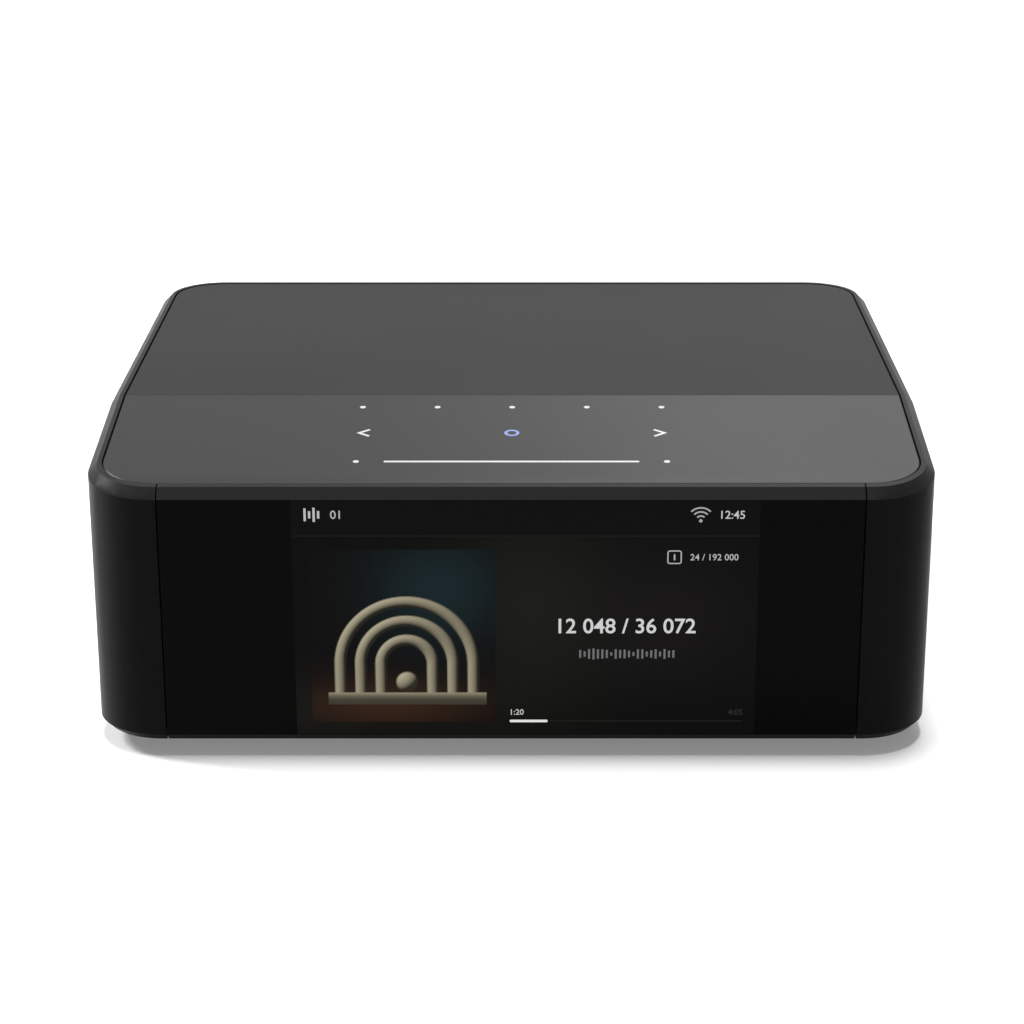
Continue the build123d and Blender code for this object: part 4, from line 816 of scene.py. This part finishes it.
class STREAMER_OT_symbols(StreamerOperator):
    """Lays the backlit touch symbols on the sloping glass"""

    bl_idname = "streamer.symbols"
    bl_label = "Lay touch symbols"

    def execute(self, context):
        sizes = context.scene.streamer_sizes
        dots = dot_row_tree()

        def lay(name, mesh, x, row, finish="symbol"):
            add_piece(name, on_slope(mesh, x, row), finish)

        for name, count, pitch, row in (
            ("preset_dots", 5, sizes.dot_pitch, sizes.dot_row),
            ("volume_end_dots", 2, 2 * sizes.slider_dot_span, sizes.slider_row),
        ):
            lay(name, run_tree(
                dots, "symbol", Count=count, Pitch=pitch, Radius=sizes.dot_radius,
                Thickness=sizes.ink,
            ), 0, row)
        half, wide = sizes.arrow_length / 2, sizes.arrow_width / 2
        for name, side in (("back_arrow", -1), ("next_arrow", 1)):
            points = [(-side * half, wide), (side * half, 0), (-side * half, -wide)]
            arrow = stroke_mesh(points, sizes.stroke, sizes.ink)
            lay(name, arrow, side * sizes.arrow_span, sizes.arrow_row)
        ring = ring_mesh(sizes.ring_radius - sizes.stroke, sizes.ring_radius, sizes.ink)
        lay("play_ring", ring, 0, sizes.arrow_row, "ring")
        width = sizes.slider_width
        line = rounded_plate(2 * sizes.slider_half, width, width / 3, sizes.ink)
        lay("volume_line", line, 0, sizes.slider_row)
        return {"FINISHED"}


class STREAMER_OT_window(StreamerOperator):
    """Makes the front window, a hair behind the front so that the picture lies flush"""

    bl_idname = "streamer.window"
    bl_label = "Make window"

    def execute(self, context):
        sizes = context.scene.streamer_sizes
        low, high = glass_box
        low = Vector((low.x, low.y + sizes.window_set, low.z))
        shape = bmesh.new()
        bmesh.ops.create_cube(shape, size=1)
        bmesh.ops.scale(shape, vec=high - low, verts=shape.verts)
        bmesh.ops.translate(shape, vec=(low + high) / 2, verts=shape.verts)
        piece = new_piece("window_glass", bm_mesh(shape, "window"), "window")
        bevelled(piece, sizes.small_round, 3)
        stand_for(piece, "front_glass")
        return {"FINISHED"}


class STREAMER_OT_picture(StreamerOperator):
    """Builds what the display shows: background, cover picture, figures, bars and progress line"""

    bl_idname = "streamer.picture"
    bl_label = "Build display picture"

    def execute(self, context):
        sizes, colours = context.scene.streamer_sizes, context.scene.streamer_colours
        ink, side = sizes.ink, sizes.cover_size
        width = sizes.picture_width / MM
        left = (panel_box[0].x + panel_box[1].x) / 2 - sizes.picture_width / 2
        base, top = glass_box[0].z, glass_box[1].z
        bars = bar_row_tree()

        def stand(name, mesh, inset, level, layer):
            x = left + (inset if inset >= 0 else width + inset) * MM
            stood = upright_on_window(mesh, x, base + level * MM, layer)
            add_piece(name, stood, "picture")

        def show(name, mesh, inset, level, colour, layer=TOP_LAYER):
            stand(name, tinted(mesh, colour), inset, level, layer)

        def write(name, text, height, inset, level, colour, **weight):
            show(name, figures_mesh(text, height * MM, ink, **weight), inset, level, colour)

        def bar_row(count, width, least, most, seed, pitch=1.15):
            return run_tree(
                bars, "picture", Count=count, Pitch=pitch * MM, Width=width * MM,
                Least=least * MM, Most=most * MM, Thickness=ink, Seed=seed,
            )

        tall = top - base - 2 * sizes.small_round
        sheet = field_mesh(sizes.picture_width, tall, BACKGROUND_CELLS, ink, background_colours)
        stand("display_background", sheet, width / 2, (top - base) / 2 / MM, BACKGROUND_LAYER)
        cover = field_mesh(side, side, COVER_CELLS, ink, cover_colours)
        half = side / 2 / MM
        stand("cover_picture", cover, COVER_INSET + half, COVER_LEVEL + half, COVER_LAYER)

        # The header: a divider, the source with its bars, the clock and the signal arcs. Figures
        # are given with their height, inset and level.
        divider = rounded_plate(sizes.picture_width, 0.2 * MM, 0.09 * MM, ink)
        show("header_divider", divider, width / 2, DIVIDER_LEVEL, linear("#1b1c1b"))
        source = bar_row(count=4, width=0.6, least=1.6, most=4.2, seed=4)
        show("source_bars", source, 5.3, HEADER_LEVEL, linear("#bdbdbd"))
        write("source_figures", "01", 2.3, 11.3, HEADER_LEVEL, linear("#b4b4b4"))
        write("clock_figures", "12:45", 2.2, -6.9, HEADER_LEVEL, linear("#c4c4c4"))
        arcs = [
            stroke_mesh(arc_points(radius * MM, 45, 135, 14), 0.42 * MM, ink)
            for radius in (1.3, 2.4, 3.5)
        ]
        arcs.append(rounded_plate(0.9 * MM, 0.9 * MM, 0.44 * MM, ink))
        show("signal_arcs", centred(joined(arcs)), -15.1, HEADER_LEVEL, linear("#a8a8a8"))

        # The format: a square badge with one bar, and its figures
        badge = joined([
            stroke_mesh(round_corners(3.4 * MM, 3.4 * MM, 0.5 * MM, 3), 0.32 * MM, ink, close=True),
            rounded_plate(0.4 * MM, 1.7 * MM, 0.15 * MM, ink),
        ])
        show("format_badge", badge, -21.6, FORMAT_LEVEL, linear("#b0b0b0"))
        write("format_figures", "24 / 192 000", 1.75, -11.4, FORMAT_LEVEL, linear("#b4b4b4"))

        # The title, with bars of sound in place of a second line
        write("title_figures", "12 048 / 36 072", 4.2, TITLE_INSET, TITLE_LEVEL, colours.title,
              weight=0.012)
        sound = bar_row(count=22, width=0.55, least=0.5, most=3.2, seed=11)
        show("sound_bars", sound, TITLE_INSET, WAVE_LEVEL, colours.quiet)

        # The progress line and its times
        end = width + LINE_END
        for name, stop, thick, radius, code, layer in (
            ("progress_track", end, 0.32, 0.15, "#1d1c1b", TRACK_LAYER),
            ("progress_played", LINE_START + LINE_PLAYED, 0.72, 0.3, "#e8e4e1", TOP_LAYER),
        ):
            line = rounded_plate((stop - LINE_START) * MM, thick * MM, radius * MM, ink)
            show(name, line, (LINE_START + stop) / 2, LINE_LEVEL, linear(code), layer)
        write("time_played", "1:20", 1.6, LINE_START + TIME_SHIFT, TIME_LEVEL, linear("#c8c8c8"))
        write("time_left", "4:05", 1.6, LINE_END - TIME_SHIFT, TIME_LEVEL, linear("#2c2c2c"))
        return {"FINISHED"}


class STREAMER_OT_rear(StreamerOperator):
    """Finishes the rear panel, its screws and all sockets, and adds their contacts and rings"""

    bl_idname = "streamer.rear"
    bl_label = "Finish rear"

    def execute(self, context):
        small = context.scene.streamer_sizes.small_round
        finished_copy("rear_panel", small, "rear")
        finished_copy("rear_screws", small / 2, "screw")
        for node in ("optical_in_socket", "optical_out_socket", "minijacks", "mains_inlet",
                     "balanced_socket_left", "balanced_socket_right"):
            finished_copy(node, small, "nylon")
        for side in ("optical_in", "optical_out"):
            finished_copy(side + "_shutter", small / 2, "abs", body=side + "_flap")
        finished_copy("setup_button", small, "abs", body="setup_key")
        for node in ("phono_barrels", "mains_pins", "balanced_pins"):
            finished_copy(node, small / 2, "turned")
        finished_copy("phono_cores", small / 2, "white_ring")
        shell, lip = 0.85 * MM, 0.2 * MM
        for node in ("ethernet_socket", "usb_a_socket", "hdmi_socket", "usb_c_socket"):
            low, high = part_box(node)

            def deep(point):
                """Faces within the plated shell and behind its lip are plastic."""
                inside = all(low[i] + shell < point[i] < high[i] - shell for i in (0, 2))
                return inside and point.y < high.y - lip

            finished_copy(node, small / 3, "nickel", "nylon", second=deep)
        self.add_contacts()
        self.add_rings()
        return {"FINISHED"}

    def add_contacts(self):
        """Gold contacts in the data sockets, one row for each."""
        bars = bar_row_tree()
        # Count, then in millimetres: pitch, width, length, drop from the top, depth in the socket
        rows = {
            "ethernet": (8, 1.02, 0.5, 7.0, 2.6, 2.5),
            "usb_a": (4, 2.3, 1.3, 6.5, 3.53, 5.0),
            "hdmi": (10, 1.0, 0.5, 5.0, 3.13, 5.0),
            "usb_c": (12, 0.5, 0.26, 3.8, 2.28, 4.0),
        }
        for kind, (count, pitch, width, length, drop, depth) in rows.items():
            low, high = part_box(kind + "_socket")
            row = run_tree(
                bars, "gold", Count=count, Pitch=pitch * MM, Width=width * MM,
                Least=length * MM, Most=length * MM, Thickness=0.08 * MM, Seed=1,
            )
            middle = ((low.x + high.x) / 2, high.y - depth * MM, high.z - drop * MM)
            row.transform(Matrix.Translation(middle))
            add_piece(kind + "_contacts", row, "gold")

    def add_rings(self):
        """Coloured insulating rings at the foot of the phono barrels, pale above and red below."""
        low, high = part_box("phono_barrels")
        flange, inner, outer, thick, proud = (n * MM for n in (5.6, 4.2, 5.3, 0.5, 0.9))
        columns = (low.x + flange, (low.x + high.x) / 2, high.x - flange)
        rows = (("pale", "white_ring", high.z - flange), ("red", "red_ring", low.z + flange))
        for name, finish, z in rows:
            rings = []
            for x in columns:
                ring = ring_mesh(inner, outer, thick)
                ring.transform(Matrix.Rotation(math.pi / 2, 4, "X"))
                ring.transform(Matrix.Translation((x, rear_face + proud, z)))
                rings.append(ring)
            add_piece("phono_rings_" + name, joined(rings), finish)


class STREAMER_OT_sides(StreamerOperator):
    """Finishes the headphone jacks: a plated bush in the side, a nylon body inside"""

    bl_idname = "streamer.sides"
    bl_label = "Finish side jacks"

    def execute(self, context):
        bush = cad_box[1].x - 3.05 * MM
        for node in ("headphone_jack_left", "headphone_jack_right"):
            finished_copy(node, context.scene.streamer_sizes.small_round, "nylon", "turned",
                          second=lambda point: abs(point.x) > bush)
        return {"FINISHED"}


class STREAMER_OT_underside(StreamerOperator):
    """Finishes the base plate, the feet and their screws"""

    bl_idname = "streamer.underside"
    bl_label = "Finish underside"

    def execute(self, context):
        small = context.scene.streamer_sizes.small_round
        finished_copy("base_plate", small, "rear")
        finished_copy("feet", small, "rubber")
        finished_copy("base_screws", small / 2, "screw")
        return {"FINISHED"}


class STREAMER_OT_inside(StreamerOperator):
    """Gives the inner parts their finishes"""

    bl_idname = "streamer.inside"
    bl_label = "Finish inner parts"

    def execute(self, context):
        dress("screw", "frame_screws", "bracket_screws")
        # Black, so that nothing bright shows through the seam at the ridge
        dress("rear", "ridge_rail")
        dress("steel", "board_screws", "board_standoffs", "analog_standoffs", "wireless_module",
              "converter_shield", "display_backlight", "display_bracket")
        dress("board", "main_board", "power_board", "analog_board", "headphone_boards",
              "antennas", "touch_sensor_board")
        dress("nylon", "touch_carrier", "board_header", "board_link", "processor",
              "setup_switch", "phono_blocks")
        dress("sink", "processor_heat_sink", "power_heat_sink")
        dress("ferrite", "power_transformer")
        dress("sleeve", "power_capacitors")
        dress("film", "display_ribbon", "touch_ribbon")
        dress("clear", "touch_light_guide")
        dress("window", "display_panel")
        return {"FINISHED"}


class STREAMER_OT_stage(StreamerOperator):
    """Sets up the pale floor, the soft studio light and the camera"""

    bl_idname = "streamer.stage"
    bl_label = "Set stage"

    def execute(self, context):
        self.add_floor(context)
        self.add_world(context)
        self.add_lamps()
        self.add_camera(context)
        context.scene.view_settings.view_transform = "Standard"
        return {"FINISHED"}

    def seen_factor(self, tree):
        """1 for what the camera, a reflection or glass shows, 0 for light that only bounces."""
        path = add_node(tree, "ShaderNodeLightPath").outputs
        seen = path["Is Camera Ray"]
        for kind in ("Is Glossy Ray", "Is Transmission Ray"):
            inputs = {0: seen, 1: path[kind]}
            seen = add_node(tree, "ShaderNodeMath", inputs, operation="MAXIMUM").outputs[0]
        return seen

    def add_floor(self, context):
        """A wide plain floor, pale where it is seen and darker for bounced light."""
        shape = bmesh.new()
        bmesh.ops.create_grid(shape, x_segments=1, y_segments=1, size=FLOOR_REACH)
        floor = new_object("studio_floor", bm_mesh(shape, "studio_floor"))
        material = bpy.data.materials.new("painted_studio_floor")
        tree = empty_tree(material)
        seen = self.seen_factor(tree)
        pale = (*context.scene.streamer_colours.floor, 1.0)
        colour = add_node(tree, "ShaderNodeMix", {
            0: seen, 6: solid(FLOOR_BOUNCE), 7: pale,
        }, data_type="RGBA")
        matt = add_node(tree, "ShaderNodeBsdfDiffuse", {"Color": colour.outputs[2]})
        # A small part of the white shows through the shadow, as in a bright studio sweep
        sweep = add_node(tree, "ShaderNodeEmission", {"Color": WHITE})
        share = add_node(tree, "ShaderNodeMath", {0: seen, 1: SHADOW_LIFT}, operation="MULTIPLY")
        mixed = add_node(tree, "ShaderNodeMixShader", {
            0: share.outputs[0], 1: matt.outputs[0], 2: sweep.outputs[0],
        })
        add_node(tree, "ShaderNodeOutputMaterial", {"Surface": mixed.outputs[0]})
        floor.data.materials.append(material)

    def add_world(self, context):
        """A white room where it is seen, and a dim one for the light that it gives."""
        world = bpy.data.worlds.new("studio")
        tree = empty_tree(world)
        strength = ranged(tree, self.seen_factor(tree), ROOM_LIGHT, 1.0)
        sky = add_node(tree, "ShaderNodeBackground", {"Color": WHITE, "Strength": strength})
        add_node(tree, "ShaderNodeOutputWorld", {"Surface": sky.outputs[0]})
        context.scene.world = world

    def add_lamps(self):
        """A broad sun overhead, and soft panels at the left and at the right rear."""
        overhead = bpy.data.lights.new("overhead", "SUN")
        overhead.energy, overhead.angle = SUN_POWER, SUN_ANGLE
        new_object("overhead", overhead).rotation_euler = (SUN_TILT, 0, 0)
        for name, (place, size, power) in LIGHT_PANELS.items():
            panel = bpy.data.lights.new(name, "AREA")
            panel.shape = "RECTANGLE"
            panel.size, panel.size_y = size
            panel.energy = power
            lamp = new_object(name, panel)
            lamp.location = place
            aim = PANEL_AIM - Vector(place)
            lamp.rotation_euler = aim.to_track_quat("-Z", "Y").to_euler()

    def add_camera(self, context):
        """The photograph's view, from a fit to the housing's edges."""
        camera = new_object("camera", bpy.data.cameras.new("camera"))
        camera.data.lens = CAMERA_LENS
        camera.data.sensor_width = 36
        camera.data.shift_x = CAMERA_SHIFT
        camera.data.clip_start, camera.data.clip_end = 0.01, 100
        camera.location = CAMERA_PLACE
        camera.rotation_euler = (math.pi / 2 - CAMERA_FALL, 0, 0)
        context.scene.camera = camera


STEPS = (
    STREAMER_OT_finishes, STREAMER_OT_housing, STREAMER_OT_top, STREAMER_OT_symbols,
    STREAMER_OT_window, STREAMER_OT_picture, STREAMER_OT_rear, STREAMER_OT_sides,
    STREAMER_OT_underside, STREAMER_OT_inside, STREAMER_OT_stage,
)


class STREAMER_PT_panel(bpy.types.Panel):
    """Lists the streamer's steps and settings"""

    bl_label = "Music Streamer"
    bl_space_type = "VIEW_3D"
    bl_region_type = "UI"
    bl_category = "Streamer"

    def draw(self, context):
        for step in STEPS:
            self.layout.operator(step.bl_idname)
        for group in (context.scene.streamer_sizes, context.scene.streamer_colours):
            column = self.layout.column()
            for name in group.__annotations__:
                column.prop(group, name)


CLASSES = (StreamerSizes, StreamerColours, *STEPS, STREAMER_PT_panel)


def register():
    for item in CLASSES:
        bpy.utils.register_class(item)
    bpy.types.Scene.streamer_sizes = bpy.props.PointerProperty(type=StreamerSizes)
    bpy.types.Scene.streamer_colours = bpy.props.PointerProperty(type=StreamerColours)


def unregister():
    del bpy.types.Scene.streamer_colours
    del bpy.types.Scene.streamer_sizes
    for item in reversed(CLASSES):
        bpy.utils.unregister_class(item)


def main():
    """Runs every step in order."""
    register()
    for step in STEPS:
        group, name = step.bl_idname.split(".")
        getattr(getattr(bpy.ops, group), name)()


if __name__ == "__main__":
    main()
